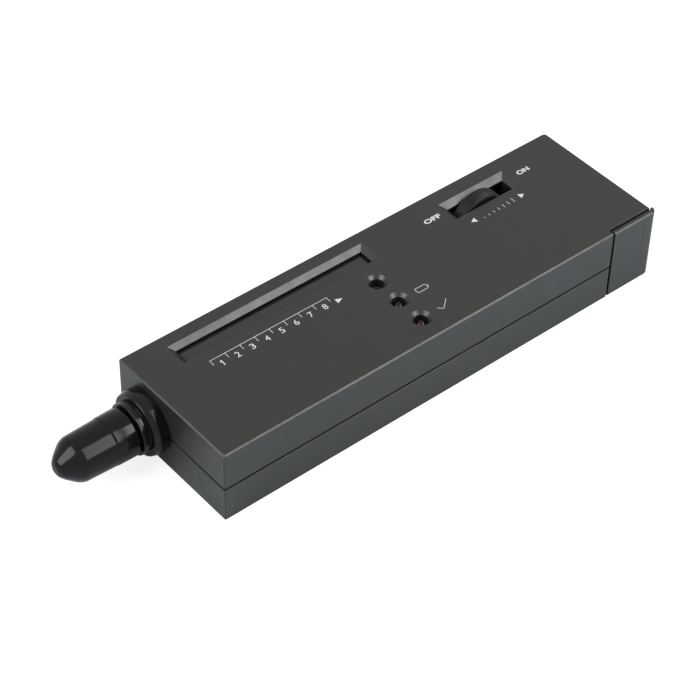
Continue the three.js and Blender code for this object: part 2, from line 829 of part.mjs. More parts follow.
function makeProbeLead(side) {
  const start = heaterLength - tipStemEnd + tipTravel + seatGap;
  const spread = side * probeLeadSpread;
  const boardZ = boardBottom + boardThickness / 2;
  const run = boardStart - seatGap - sideWall - flangeThickness;
  const inside = sideWall + flangeThickness;
  return wire([
    [start, probeY + spread, probeHeight],
    [0, probeY + spread, probeHeight],
    [inside, probeY + spread, probeHeight],
    [inside + run / 2, probeY + 2 * spread, (probeHeight + boardZ) / 2],
    [boardStart - seatGap, probeY + 2 * spread, boardZ],
  ], probeLeadRadius);
}

// Main board

function makeMainBoard() {
  const board = block(boardStart, boardEnd, boardNear, boardFar, boardBottom, boardTop);
  const holes = boardPosts.map(([x, y]) => rodZ(boardScrewRadius + slideGap,
    boardBottom - overrun, boardTop + overrun, x, y));
  return cut(board, ...holes);
}

function makeBoardScrew(x, y) {
  return screwUp(x, y, boardBottom, boardScrewHeadRadius, boardScrewHead, boardScrewRadius,
    boardScrewLength);
}

function makeScaleLamp(place) {
  const middle = scaleStart + (place + 1 / 2) * scaleSpacing;
  const half = (scaleSpacing - scaleLampGap) / 2;
  const top = paneBottom - seatGap;
  const legs = [-1, 1].map((side) => {
    const x = middle + side * lampLegSpacing;
    return block(x - legThickness / 2, x + legThickness / 2, windowMiddle - legThickness / 2,
      windowMiddle + legThickness / 2, boardTop, top - scaleLampHeight / 2);
  });
  return join(block(middle - half, middle + half, windowMiddle - scaleLampWidth / 2,
    windowMiddle + scaleLampWidth / 2, top - scaleLampHeight, top), ...legs);
}

function makeRoundLamp(y) {
  const top = bodyHeight - lampTopDrop;
  const flangeBottom = boardTop + lampStandoff;
  const flangeTop = flangeBottom + lampFlangeThickness;
  const dome = [];
  for (let step = 0; step <= domeSteps; step += 1) {
    const angle = step / domeSteps * Math.PI / 2;
    const radius = step === domeSteps ? 0 : lampRadius * Math.cos(angle);
    dome.push([radius, top - lampRadius + lampRadius * Math.sin(angle)]);
  }
  const legs = [-1, 1].map((side) => {
    const x = lampFromFront + side * lampLegSpacing;
    return block(x - legThickness / 2, x + legThickness / 2, y - legThickness / 2,
      y + legThickness / 2, boardTop, flangeTop);
  });
  return join(turnedZ([
    [0, flangeBottom], [lampFlangeRadius, flangeBottom], [lampFlangeRadius, flangeTop],
    [lampRadius, flangeTop], ...dome,
  ], lampFromFront, y), ...legs);
}

function makeSounder() {
  const top = roofUnder - lampBossDrop - seatGap;
  return cut(
    rodZ(sounderRadius, boardTop, top, lampFromFront, sounderY, roundSides),
    rodZ(sounderHole, top - sounderHoleDepth, top + overrun, lampFromFront, sounderY),
  );
}

// A dual in-line chip along x, standing on bent pins
function makeChip(x, y, pairCount) {
  const length = pairCount * chipPinSpacing;
  const bottom = boardTop + chipStandoff;
  const bend = bottom + chipPinDrop;
  const body = block(x - length / 2, x + length / 2, y - chipWidth / 2, y + chipWidth / 2,
    bottom, bottom + chipHeight);
  const pins = [];
  for (let pair = 0; pair < pairCount; pair += 1) {
    const pinX = x - length / 2 + (pair + 1 / 2) * chipPinSpacing;
    for (const side of [-1, 1]) {
      const inner = y + side * (chipWidth / 2 - chipPinThickness);
      const outer = y + side * (chipWidth / 2 + chipPinThickness);
      pins.push(block(pinX - chipPinWidth / 2, pinX + chipPinWidth / 2,
        Math.min(inner, outer), Math.max(inner, outer), boardTop, bend));
    }
  }
  const notch = rodZ(chipPinWidth, bottom + chipHeight - chipPinThickness,
    bottom + chipHeight + overrun, x - length / 2, y);
  return join(cut(body, notch), ...pins);
}

function makeTrimmer() {
  const half = trimmerSize / 2;
  const top = boardTop + trimmerHeight;
  const groove = screwSlotWidth;
  return cut(
    join(
      block(trimmerFromFront - half, trimmerFromFront + half, trimmerFromNearSide - half,
        trimmerFromNearSide + half, boardTop, top),
      rodZ(trimmerScrewRadius, boardTop, top + screwSlotDepth, trimmerFromFront, trimmerFromNearSide),
    ),
    block(trimmerFromFront - trimmerScrewRadius, trimmerFromFront + trimmerScrewRadius,
      trimmerFromNearSide - groove / 2, trimmerFromNearSide + groove / 2, top, top + overrun),
  );
}

function makeCapacitor(place) {
  const x = capacitorFromFront + place * capacitorSpacing;
  const top = boardTop + capacitorHeight;
  return turnedZ([
    [0, boardTop], [capacitorRadius, boardTop], [capacitorRadius, top - capacitorRimDrop],
    [capacitorRadius - capacitorRimDrop, top], [0, top],
  ], x, capacitorFromNearSide);
}

// Thumbwheel and its potentiometer

function makeWheel() {
  const corners = [];
  for (let rib = 0; rib < wheelRibCount; rib += 1) {
    for (const [share, radius] of [
      [ribRootShare, wheelRadius - wheelRibDepth], [ribCrownShare, wheelRadius],
      [1 - ribCrownShare, wheelRadius], [1 - ribRootShare, wheelRadius - wheelRibDepth],
    ]) {
      const angle = (rib + share) / wheelRibCount * 2 * Math.PI;
      corners.push(new THREE.Vector2(radius * Math.cos(angle), radius * Math.sin(angle)));
    }
  }
  const settings = { depth: wheelThickness, bevelEnabled: false };
  const disc = new THREE.ExtrudeGeometry(new THREE.Shape(corners), settings).rotateX(Math.PI / 2);
  return cut(
    solid(disc.translate(wheelX, wheelFar, wheelZ)),
    rodY(wheelScrewHeadRadius + slideGap, wheelNear - overrun, wheelNear + wheelScrewRecess,
      wheelX, wheelZ),
    rodY(wheelScrewRadius + screwRunGap, wheelNear, wheelFar + overrun, wheelX, wheelZ),
    rodY(shaftRadius + slideGap, wheelFar - shaftBite - slideGap, wheelFar + overrun, wheelX, wheelZ),
  );
}

function makeWheelScrew() {
  const seat = wheelNear + wheelScrewRecess;
  const crown = seat - wheelScrewHead;
  return cut(
    join(
      rodY(wheelScrewHeadRadius, crown, seat, wheelX, wheelZ),
      rodY(wheelScrewRadius, seat - wheelScrewHead / 2, seat + wheelScrewLength, wheelX, wheelZ),
    ),
    block(wheelX - wheelScrewHeadRadius - overrun, wheelX + wheelScrewHeadRadius + overrun,
      crown - overrun, crown + screwSlotDepth, wheelZ - screwSlotWidth / 2,
      wheelZ + screwSlotWidth / 2),
  );
}

function makeShaft() {
  const start = wheelFar - shaftBite;
  const end = controlNear + controlDepth / 2;
  const screwEnd = wheelNear + wheelScrewRecess + wheelScrewLength + slideGap;
  return cut(
    join(
      rodY(shaftRadius, start, end, wheelX, wheelZ),
      rodY(shaftFlange, wheelFar, wheelFar + shaftFlangeThickness, wheelX, wheelZ),
    ),
    rodY(wheelScrewRadius + screwRunGap, start - overrun, screwEnd, wheelX, wheelZ),
  );
}

function makeControl() {
  const [left, right] = [wheelX - controlLength / 2, wheelX + controlLength / 2];
  const top = roofUnder - controlTopGap;
  const outline = new THREE.Shape();
  outline.moveTo(left, volumeBoardTop);
  outline.lineTo(right, volumeBoardTop);
  outline.lineTo(right, top - controlChamfer);
  outline.lineTo(right - controlChamfer, top);
  outline.lineTo(left + controlChamfer, top);
  outline.lineTo(left, top - controlChamfer);
  const settings = { depth: controlDepth, bevelEnabled: false };
  const housing = new THREE.ExtrudeGeometry(outline, settings).rotateX(Math.PI / 2);
  return cut(
    solid(housing.translate(0, controlNear + controlDepth, 0)),
    rodY(shaftRadius + slideGap, controlNear - overrun, controlNear + controlDepth / 2 + slideGap,
      wheelX, wheelZ),
  );
}

function makeVolumeBoard() {
  const holes = volumeScrewPlaces().map(([x, y]) => rodZ(boardScrewRadius + slideGap,
    volumeBoardBottom - overrun, volumeBoardTop + overrun, x, y));
  return cut(block(volumeBoardStart, volumeBoardStart + volumeBoardLength,
    volumeBoardFar - volumeBoardWidth, volumeBoardFar, volumeBoardBottom, volumeBoardTop), ...holes);
}

function makeVolumeBoardScrew(x, y) {
  const length = volumeBoardHeight + volumeBoardThickness - slideGap;
  const crown = volumeBoardTop + boardScrewHead;
  const half = screwSlotWidth / 2;
  return cut(turnedZ([
    [0, volumeBoardTop - length], [boardScrewRadius, volumeBoardTop - length],
    [boardScrewRadius, volumeBoardTop], [boardScrewHeadRadius, volumeBoardTop],
    [boardScrewHeadRadius, crown], [0, crown],
  ], x, y, screwSides), block(x - boardScrewRadius, x + boardScrewRadius, y - half, y + half,
    crown - screwSlotDepth, crown + overrun));
}

// Battery, clip and wiring

function makeBattery() {
  const outline = roundedOutline(batterySideGap, batteryFarSide, floorThickness,
    floorThickness + batteryHeight, batteryCornerRadius, batteryCornerRadius);
  const start = batteryStart + terminalHeight;
  const settings = { depth: batteryEnd - start, bevelEnabled: false, curveSegments: cornerSteps };
  const geometry = new THREE.ExtrudeGeometry(outline, settings);
  const turn = new THREE.Matrix4().makeBasis(new THREE.Vector3(0, 1, 0),
    new THREE.Vector3(0, 0, 1), new THREE.Vector3(1, 0, 0));
  return solid(geometry.applyMatrix4(turn).translate(start, 0, 0));
}

function terminalY(side) {
  return batteryMiddle + side * terminalSpacing / 2;
}

function makePlusTerminal() {
  return rodX(plusRadius, batteryStart, batteryStart + terminalHeight, terminalY(-1),
    batteryMidHeight);
}

function makeMinusTerminal() {
  const end = batteryStart + terminalHeight;
  return cut(
    rodX(minusRadius, batteryStart, end, terminalY(1), batteryMidHeight),
    rodX(minusBore, batteryStart - overrun, end - socketWall, terminalY(1), batteryMidHeight),
  );
}

function makeClip() {
  return block(clipFront, clipFront + clipThickness, batterySideGap + clipMargin,
    batteryFarSide - clipMargin, batteryMidHeight - clipHeight / 2, batteryMidHeight + clipHeight / 2);
}

function makeClipSocket() {
  const bore = plusRadius + snapGap;
  const end = batteryStart + terminalHeight - seatGap;
  return cut(
    rodX(bore + socketWall, clipFront + clipThickness, end, terminalY(-1), batteryMidHeight),
    rodX(bore, batteryStart - snapGap, end + overrun, terminalY(-1), batteryMidHeight),
  );
}

function makeClipStud() {
  const end = batteryStart + terminalHeight - socketWall - seatGap;
  return rodX(studRadius, clipFront + clipThickness, end, terminalY(1), batteryMidHeight);
}

// The wires end side by side at the small board's front edge
function wireEnd(place) {
  return {
    x: volumeBoardStart - seatGap,
    y: volumeBoardFar - (place + 1 / 2) * leadSpacing,
    z: volumeBoardBottom + volumeBoardThickness / 2,
  };
}

// Leads leave the clip's front, one above the other, and turn behind the partition
function makeBatteryLead(place) {
  const x = clipFront - partitionGap / 2;
  const y = batteryFarSide - leadDrop;
  const z = batteryMidHeight + (1 - 2 * place) * leadDrop;
  const end = wireEnd(place);
  const run = end.x - x;
  return wire([
    [clipFront - seatGap, y, z],
    [clipFront - seatGap - leadRadius, y, z],
    [x, y + 2 * leadRadius, z],
    [x + run / 4, end.y, (2 * z + end.z) / 3],
    [end.x - run / 4, end.y, (z + 3 * end.z) / 4],
    [end.x - leadRadius, end.y, end.z],
    [end.x, end.y, end.z],
  ], leadRadius);
}

// The lead between the boards passes the open end of the partition, under the battery leads
function makeVolumeHarness() {
  const start = boardEnd + seatGap;
  const pass = batteryFarSide + 2 * leadRadius;
  const boardZ = boardBottom + boardThickness / 2;
  const end = wireEnd(2);
  return wire([
    [start, pass, boardZ],
    [start + leadRadius, pass, boardZ],
    [partitionFront, pass, (boardZ + 2 * end.z) / 3],
    [partitionRear + leadRadius, pass, end.z],
    [end.x - leadRadius, end.y, end.z],
    [end.x, end.y, end.z],
  ], leadRadius);
}

// Finishes

function finish(color, roughness, metalness = 0) {
  return new THREE.MeshStandardMaterial({ color, roughness, metalness });
}

const caseGrey = finish(0x4a4b4b, 0.5);
const smokedRed = finish(0x2c1d1d, 0.15);
const glossBlack = finish(0x141416, 0.25);
const mattBlack = finish(0x242426, 0.6);
const copper = finish(0xb0693c, 0.3, 1);
const steel = finish(0xa8abb0, 0.35, 1);
const nickel = finish(0xc4c4be, 0.3, 1);
const boardGreen = finish(0x1f5a36, 0.5);
const lampRed = finish(0x7a1518, 0.2);
const lampGreen = finish(0x2f7a2c, 0.3);
const lampYellow = finish(0xb48a1c, 0.3);
const ceramic = finish(0xd8d2c4, 0.7);
const chipBlack = finish(0x1a1a1c, 0.55);
const trimmerBlue = finish(0x2456a4, 0.4);
const sleeveBlue = finish(0x1c2c58, 0.35);
const batteryShell = finish(0x3a3d42, 0.35, 0.6);
const leadRed = finish(0xb02018, 0.45);
const leadBlack = finish(0x18181a, 0.45);
const leadWhite = finish(0xd8d8d4, 0.5);

// Assembly

const tester = new THREE.Group();
tester.position.set((capReach - coverEnd) / 2, -bodyWidth / 2, 0);

function add(name, shape, material) {
  const mesh = shape.getMesh();
  const geometry = new THREE.BufferGeometry();
  geometry.setAttribute('position', new THREE.BufferAttribute(mesh.vertProperties, 3));
  geometry.setIndex(new THREE.BufferAttribute(mesh.triVerts, 1));
  geometry.computeVertexNormals();
  const piece = new THREE.Mesh(geometry, material);
  piece.name = name;
  tester.add(piece);
}

function addCasing() {
  add('top_shell', makeTopShell(), caseGrey);
  add('bottom_shell', makeBottomShell(), caseGrey);
  add('battery_cover', makeBatteryCover(), caseGrey);
  add('display_window', makeWindowPane(), smokedRed);
  add('contact_plate', makeTouchPlate(), steel);
  add('contact_spring', makeContactSpring(), nickel);
  casePosts.forEach(([x, y], index) => add(`case_screw_${index + 1}`, makeCaseScrew(x, y), steel));
}

function addProbe() {
  add('probe_collar', makeCollar(), mattBlack);
  add('probe_cap', makeCap(), glossBlack);
  add('probe_nose', makeNose(), ceramic);
  add('probe_tip', makeTip(), copper);
  add('heater_element', makeHeater(), ceramic);
  add('tip_spring', makeTipSpring(), nickel);
  add('probe_plug', makePlug(), mattBlack);
  add('probe_lead_red', makeProbeLead(-1), leadRed);
  add('probe_lead_white', makeProbeLead(1), leadWhite);
}

// The scale's lamps go from red through yellow to green
function scaleLampFinish(place) {
  const zones = [lampRed, lampYellow, lampGreen];
  return zones[Math.floor(place * zones.length / scaleLampCount)];
}

function addMainBoard() {
  add('main_board', makeMainBoard(), boardGreen);
  boardPosts.forEach(([x, y], index) => add(`board_screw_${index + 1}`, makeBoardScrew(x, y), steel));
  for (let place = 0; place < scaleLampCount; place += 1) {
    const label = String(place + 1).padStart(2, '0');
    add(`scale_lamp_${label}`, makeScaleLamp(place), scaleLampFinish(place));
  }
  add('ready_lamp', makeRoundLamp(lampY[0]), lampRed);
  add('battery_lamp', makeRoundLamp(lampY[1]), lampRed);
  add('sounder', makeSounder(), chipBlack);
  add('driver_chip', makeChip(chipFromFront, chipFromNearSide, driverPairCount), chipBlack);
  add('amplifier_chip', makeChip(amplifierFromFront, amplifierFromNearSide, amplifierPairCount),
    chipBlack);
  add('trimmer', makeTrimmer(), trimmerBlue);
  add('capacitor_1', makeCapacitor(0), sleeveBlue);
  add('capacitor_2', makeCapacitor(1), sleeveBlue);
}

function addVolumeControl() {
  add('volume_wheel', makeWheel(), mattBlack);
  add('wheel_screw', makeWheelScrew(), steel);
  add('control_shaft', makeShaft(), nickel);
  add('volume_control', makeControl(), chipBlack);
  add('volume_board', makeVolumeBoard(), boardGreen);
  volumeScrewPlaces().forEach(([x, y], index) => {
    add(`volume_board_screw_${index + 1}`, makeVolumeBoardScrew(x, y), steel);
  });
}

function addPower() {
  add('battery', makeBattery(), batteryShell);
  add('battery_terminal_plus', makePlusTerminal(), nickel);
  add('battery_terminal_minus', makeMinusTerminal(), nickel);
  add('battery_clip', makeClip(), leadBlack);
  add('clip_socket', makeClipSocket(), nickel);
  add('clip_stud', makeClipStud(), nickel);
  add('battery_lead_red', makeBatteryLead(0), leadRed);
  add('battery_lead_black', makeBatteryLead(1), leadBlack);
  add('volume_harness', makeVolumeHarness(), leadWhite);
}

addCasing();
addProbe();
addMainBoard();
addVolumeControl();
addPower();

export default tester;
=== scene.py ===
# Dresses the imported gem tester: refined casing, probe, wheel and lamps, prints, finishes, camera and light.
# Lengths are millimetres in the casing's own frame: x runs from the front face to the rear, y from the near
# long side to the far one, z from the underside. They become metres when a mesh is made.

import math

import bmesh
import bpy
from mathutils import Matrix, Vector


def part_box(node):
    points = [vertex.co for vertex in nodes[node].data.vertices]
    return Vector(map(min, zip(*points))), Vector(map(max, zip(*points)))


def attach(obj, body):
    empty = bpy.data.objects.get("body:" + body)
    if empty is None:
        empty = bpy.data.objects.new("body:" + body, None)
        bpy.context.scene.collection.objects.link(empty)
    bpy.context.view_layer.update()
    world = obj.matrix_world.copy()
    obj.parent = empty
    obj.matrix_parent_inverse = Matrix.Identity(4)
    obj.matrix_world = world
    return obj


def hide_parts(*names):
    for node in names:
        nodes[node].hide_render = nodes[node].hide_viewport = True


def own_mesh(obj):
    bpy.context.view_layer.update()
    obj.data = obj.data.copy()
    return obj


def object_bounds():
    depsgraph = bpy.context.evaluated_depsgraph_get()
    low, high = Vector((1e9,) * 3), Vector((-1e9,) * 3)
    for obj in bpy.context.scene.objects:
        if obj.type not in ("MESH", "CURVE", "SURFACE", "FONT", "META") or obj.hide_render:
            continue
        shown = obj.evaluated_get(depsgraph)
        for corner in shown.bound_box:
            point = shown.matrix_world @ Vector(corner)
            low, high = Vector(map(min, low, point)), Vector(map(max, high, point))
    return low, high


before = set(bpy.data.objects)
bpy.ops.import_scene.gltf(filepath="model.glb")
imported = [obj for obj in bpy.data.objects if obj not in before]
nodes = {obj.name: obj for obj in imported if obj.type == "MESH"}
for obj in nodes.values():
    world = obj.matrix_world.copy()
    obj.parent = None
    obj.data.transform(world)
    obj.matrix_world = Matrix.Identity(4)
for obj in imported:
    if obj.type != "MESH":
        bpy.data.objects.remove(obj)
cad_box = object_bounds()

MM = 0.001
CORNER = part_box("bottom_shell")[0]

# Camera, in millimetres of the casing's frame
CAMERA_PLACE = (-216.27, -292.18, 404.48)
CAMERA_FORWARD = (0.47378, 0.54510, -0.69166)
CAMERA_RIGHT = (0.76766, -0.64051, 0.02105)
CAMERA_LENS = 116.99
CAMERA_SENSOR = 36

# Light, in metres from the middle of the part, and watts
WORLD_SEEN = 1.0
WORLD_MIRRORED = 0.80
WORLD_DIFFUSE = 0.45
KEY_PLACE = (0.345, -0.340, 0.405)
KEY_SIZE = (0.34, 0.36)
KEY_POWER = 3.1
STRIP_PLACE = (0.120, -0.404, 0.440)
STRIP_SIZE = (0.09, 0.58)
STRIP_POWER = 0.88
SIDE_PLACE = (-0.46, 0.10, 0.36)
SIDE_SIZE = (0.38, 0.46)
SIDE_POWER = 3.3
FLOOR_HALF = 3.0
FLOOR_ALBEDO = 0.8
FLOOR_MIRRORED_ALBEDO = 0.60
FLOOR_MIRRORED_GLOW = 0.10
FLOOR_SEEN_ALBEDO = 0.35
FLOOR_SEEN_GLOW = 0.82
WHITE = (1.0, 1.0, 1.0)
WORLD_TINT = (1.0, 1.0, 0.94)
FLOOR_TINT = (0.92, 1.0, 1.06)

# Mesh fineness
ROUND_SIDES = 96
SMALL_SIDES = 48
CORNER_STEPS = 4
WELD = 1e-6
FLAT_ANGLE = math.radians(0.5)
SHARP_ANGLE = math.radians(30)
BREAK_ANGLE = math.radians(50)
EDGE_BREAK = 0.09
FINE_BREAK = 0.05
BREAK_SEGMENTS = 2
ROUNDING_LIMIT = 0.45


# Places and boxes

def place(x, y, z):
    return CORNER + Vector((x, y, z)) * MM


def box_mm(node):
    low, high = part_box(node)
    return (low - CORNER) / MM, (high - CORNER) / MM


def middle_mm(node):
    low, high = box_mm(node)
    return (low + high) / 2


def numbered(stem, count):
    return [f"{stem}_{index + 1}" for index in range(count)]


# Meshes

# A mesh as a piece of its own on a body, which stands for the CAD nodes named
def piece_from(bm, name, material, body, stands_for=()):
    bmesh.ops.recalc_face_normals(bm, faces=bm.faces)
    mesh = bpy.data.meshes.new(name)
    bm.to_mesh(mesh)
    bm.free()
    mesh.shade_smooth()
    mesh.set_sharp_from_angle(angle=SHARP_ANGLE)
    mesh.materials.append(material)
    piece = bpy.data.objects.new(name, mesh)
    bpy.context.scene.collection.objects.link(piece)
    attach(piece, body)
    if stands_for:
        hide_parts(*stands_for)
    return piece


# Rounds off the edges that carry a weight
def soften(piece, width):
    bevel = piece.modifiers.new("edges", "BEVEL")
    bevel.limit_method = "WEIGHT"
    bevel.width = width * MM
    bevel.segments = BREAK_SEGMENTS
    bevel.use_clamp_overlap = False
    bevel.miter_outer = "MITER_ARC"
    weighted = piece.modifiers.new("shading", "WEIGHTED_NORMAL")
    weighted.keep_sharp = True
    return piece


# Marks the sharp edges between two faces, apart from those for which unbroken says so
def weigh_edges(bm, unbroken):
    layer = bm.edges.layers.float.new("bevel_weight_edge")
    for edge in bm.edges:
        middle = ((edge.verts[0].co + edge.verts[1].co) / 2 - CORNER) / MM
        if unbroken and unbroken(middle):
            continue
        if len(edge.link_faces) == 2 and edge.calc_face_angle(0) > BREAK_ANGLE:
            edge[layer] = 1


# A clean copy of a CAD node, its flat faces joined and its edges broken. Faces for which left_out says so
# aren't joined, and edges for which unbroken says so stay sharp.
def refined(node, name, material, body, width=EDGE_BREAK, left_out=None, unbroken=None):
    source = nodes[node].data
    bm = bmesh.new()
    corners = [bm.verts.new(vertex.co) for vertex in source.vertices]
    for polygon in source.polygons:
        bm.faces.new([corners[index] for index in polygon.vertices])
    bmesh.ops.remove_doubles(bm, verts=bm.verts, dist=WELD)
    free = bm.edges
    if left_out:
        touched = {vertex for vertex in bm.verts if left_out((vertex.co - CORNER) / MM)}
        free = [edge for edge in bm.edges
                if not any(touched & set(face.verts) for face in edge.link_faces)]
    bmesh.ops.dissolve_limit(bm, angle_limit=FLAT_ANGLE, verts=bm.verts, edges=free)
    bmesh.ops.recalc_face_normals(bm, faces=bm.faces)
    weigh_edges(bm, unbroken)
    return soften(piece_from(bm, name, material, body, (node,)), width)


# Each inner corner of a profile, eased by a short curve
def rounded(profile, radius):
    eased = [tuple(profile[0])]
    for before, corner, after in zip(profile, profile[1:], profile[2:]):
        back, corner, ahead = Vector(before), Vector(corner), Vector(after)
        reach = min(radius, (back - corner).length * ROUNDING_LIMIT, (ahead - corner).length * ROUNDING_LIMIT)
        start = corner + (back - corner).normalized() * reach
        end = corner + (ahead - corner).normalized() * reach
        for step in range(CORNER_STEPS + 1):
            share = step / CORNER_STEPS
            point = start * (1 - share) ** 2 + corner * 2 * share * (1 - share) + end * share ** 2
            eased.append(tuple(point))
    eased.append(tuple(profile[-1]))
    return eased


# The profile between two ends, from (distance from the end, radius or inset) pairs at each
def from_ends(start, end, front, rear):
    ahead = [(start + along, across) for along, across in front]
    behind = [(end - along, across) for along, across in rear]
    return ahead + behind


# Turns (along the axis, across, up) into (x, y, z)
AROUND = {
    "x": lambda along, across, up: (along, across, up),
    "y": lambda along, across, up: (across, along, up),
    "z": lambda along, across, up: (across, up, along),
}


# Rings of points joined to a skin; a ring of one point closes an end
def skin(bm, rings, closed=False):
    pairs = list(zip(rings, rings[1:]))
    if closed:
        pairs.append((rings[-1], rings[0]))
    for first, second in pairs:
        sides = max(len(first), len(second))
        for side in range(sides):
            after = (side + 1) % sides
            corners = [first[side % len(first)], first[after % len(first)],
                       second[after % len(second)], second[side % len(second)]]
            unique = list(dict.fromkeys(corners))
            if len(unique) > 2:
                bm.faces.new(unique)
    return bm


# A solid of revolution: the profile holds (along, radius) pairs, and a rib function may vary the radius
def turned(profile, axis, centre, sides=ROUND_SIDES, rib=None):
    bm = bmesh.new()
    closed = profile[0] == profile[-1]
    rings = []
    for along, radius in profile[:-1] if closed else profile:
        ring = []
        for side in range(sides if radius else 1):
            angle = side / sides * 2 * math.pi
            reach = rib(radius, angle) if rib else radius
            local = AROUND[axis](along, reach * math.cos(angle), reach * math.sin(angle))
            ring.append(bm.verts.new(place(*(a + b for a, b in zip(centre, local)))))
        rings.append(ring)
    return skin(bm, rings, closed)


# A closed solid between an outline's copies at each (along x, inset) step
def lofted(outline, steps):
    bm = bmesh.new()
    rings = []
    for along, inset in steps:
        rings.append([bm.verts.new(place(along, y, z)) for y, z in outline(inset)])
    bm.faces.new(rings[0][::-1])
    bm.faces.new(rings[-1])
    return skin(bm, rings)


def add_box(bm, low, high):
    made = bmesh.ops.create_cube(bm, size=1)["verts"]
    low, high = Vector(low), Vector(high)
    for vertex in made:
        share = vertex.co + Vector((0.5, 0.5, 0.5))
        vertex.co = place(*(a + (b - a) * s for a, b, s in zip(low, high, share)))


# Materials

CLOUD_DETAIL = 4.0
SMUDGE_DETAIL = 5.0
SMUDGE_SHARE = 0.45
SMUDGE_SEED = 3
NOISE_LOW = 0.3
NOISE_HIGH = 0.7


def new_material(name):
    material = bpy.data.materials.new(name)
    material.use_nodes = True
    tree = material.node_tree
    shader = tree.nodes["Principled BSDF"]
    return material, tree, shader


def noise(tree, scale, detail=2.0, seed=0.0):
    coordinates = tree.nodes.new("ShaderNodeTexCoord")
    texture = tree.nodes.new("ShaderNodeTexNoise")
    texture.noise_dimensions = "4D"
    texture.inputs["W"].default_value = seed
    texture.inputs["Scale"].default_value = scale
    texture.inputs["Detail"].default_value = detail
    tree.links.new(coordinates.outputs["Object"], texture.inputs["Vector"])
    return texture.outputs["Fac"]


def spread(tree, value, low, high):
    mapped = tree.nodes.new("ShaderNodeMapRange")
    mapped.inputs["From Min"].default_value = NOISE_LOW
    mapped.inputs["From Max"].default_value = NOISE_HIGH
    mapped.inputs["To Min"].default_value = low
    mapped.inputs["To Max"].default_value = high
    tree.links.new(value, mapped.inputs["Value"])
    return mapped.outputs["Result"]


# Of the mix node's sockets, inputs 6 and 7 are its two colours and output 2 is the mixed one
def blend_colours(tree, value, low, high):
    mix = tree.nodes.new("ShaderNodeMix")
    mix.data_type = "RGBA"
    tree.links.new(value, mix.inputs["Factor"])
    mix.inputs[6].default_value = (*low, 1)
    mix.inputs[7].default_value = (*high, 1)
    return mix.outputs[2]


# A moulded or painted surface: fine grain, uneven gloss, slightly mottled colour
def surface(name, colour, roughness, grain=0.15, depth=0.004, mottle=0.12, patch=9.0,
            gloss_swing=0.15, metallic=0.0, transmission=0.0, coat=0.0, mirror=0.5):
    material, tree, shader = new_material(name)
    cloudy = noise(tree, 1 / (patch * MM), CLOUD_DETAIL, len(name))
    low = [channel * (1 - mottle) for channel in colour]
    high = [min(1.0, channel * (1 + mottle)) for channel in colour]
    tree.links.new(blend_colours(tree, cloudy, low, high), shader.inputs["Base Color"])
    smudged = noise(tree, 1 / (patch * SMUDGE_SHARE * MM), SMUDGE_DETAIL, len(name) + SMUDGE_SEED)
    swing = spread(tree, smudged, roughness * (1 - gloss_swing), roughness * (1 + gloss_swing))
    tree.links.new(swing, shader.inputs["Roughness"])
    bump = tree.nodes.new("ShaderNodeBump")
    bump.inputs["Distance"].default_value = depth * MM
    tree.links.new(noise(tree, 1 / (grain * MM)), bump.inputs["Height"])
    tree.links.new(bump.outputs["Normal"], shader.inputs["Normal"])
    shader.inputs["Metallic"].default_value = metallic
    shader.inputs["Transmission Weight"].default_value = transmission
    shader.inputs["Coat Weight"].default_value = coat
    shader.inputs["Specular IOR Level"].default_value = mirror
    return material


finishes = {
    "case_grey": surface("case_grey", (0.0118, 0.0120, 0.0117), 0.34, grain=0.16, depth=0.006),
    "smoked_red": surface("smoked_red", (0.0135, 0.0118, 0.0115), 0.10, grain=1.5, depth=0.0005),
    "gloss_black": surface("gloss_black", (0.0040, 0.0040, 0.0044), 0.13, grain=1.2, depth=0.002,
                           mirror=0.2),
    "matt_black": surface("matt_black", (0.0045, 0.0045, 0.0048), 0.13, grain=0.8, depth=0.002,
                          mirror=0.25),
    "wheel_black": surface("wheel_black", (0.0065, 0.0065, 0.0068), 0.50, grain=0.2, depth=0.008,
                           mirror=0.35),
    "copper": surface("copper", (0.62, 0.27, 0.13), 0.28, mottle=0.2, metallic=1.0),
    "steel": surface("steel", (0.55, 0.56, 0.58), 0.30, grain=0.08, metallic=1.0),
    "nickel": surface("nickel", (0.66, 0.64, 0.58), 0.24, grain=0.08, metallic=1.0),
    "board_green": surface("board_green", (0.012, 0.10, 0.035), 0.40, coat=0.4),
    "lamp_red": surface("lamp_red", (0.010, 0.0010, 0.0014), 0.12, grain=1.0, depth=0.0005,
                        mirror=0.3),
    "lamp_green": surface("lamp_green", (0.04, 0.25, 0.03), 0.22, transmission=0.3),
    "lamp_yellow": surface("lamp_yellow", (0.45, 0.26, 0.02), 0.22, transmission=0.3),
    "ceramic": surface("ceramic", (0.70, 0.65, 0.55), 0.55, grain=0.1, depth=0.006),
    "chip_black": surface("chip_black", (0.012, 0.012, 0.013), 0.55, grain=0.08, depth=0.008),
    "trimmer_blue": surface("trimmer_blue", (0.02, 0.09, 0.36), 0.40),
    "sleeve_blue": surface("sleeve_blue", (0.012, 0.025, 0.10), 0.32),
    "battery_shell": surface("battery_shell", (0.04, 0.045, 0.052), 0.30, metallic=0.6),
    "lead_red": surface("lead_red", (0.42, 0.014, 0.010), 0.42),
    "lead_black": surface("lead_black", (0.010, 0.010, 0.011), 0.45),
    "lead_white": surface("lead_white", (0.68, 0.68, 0.64), 0.45),
    "ink_white": surface("ink_white", (0.50, 0.50, 0.495), 0.55, grain=0.08, depth=0.003,
                         mottle=0.05),
    # Painted shade: the next finish is near black, for the lining that stands in for the shadow on the
    # window's walls
    "seal_black": surface("seal_black", (0.0020, 0.0020, 0.0021), 0.60, grain=0.3, mirror=0.1),
}

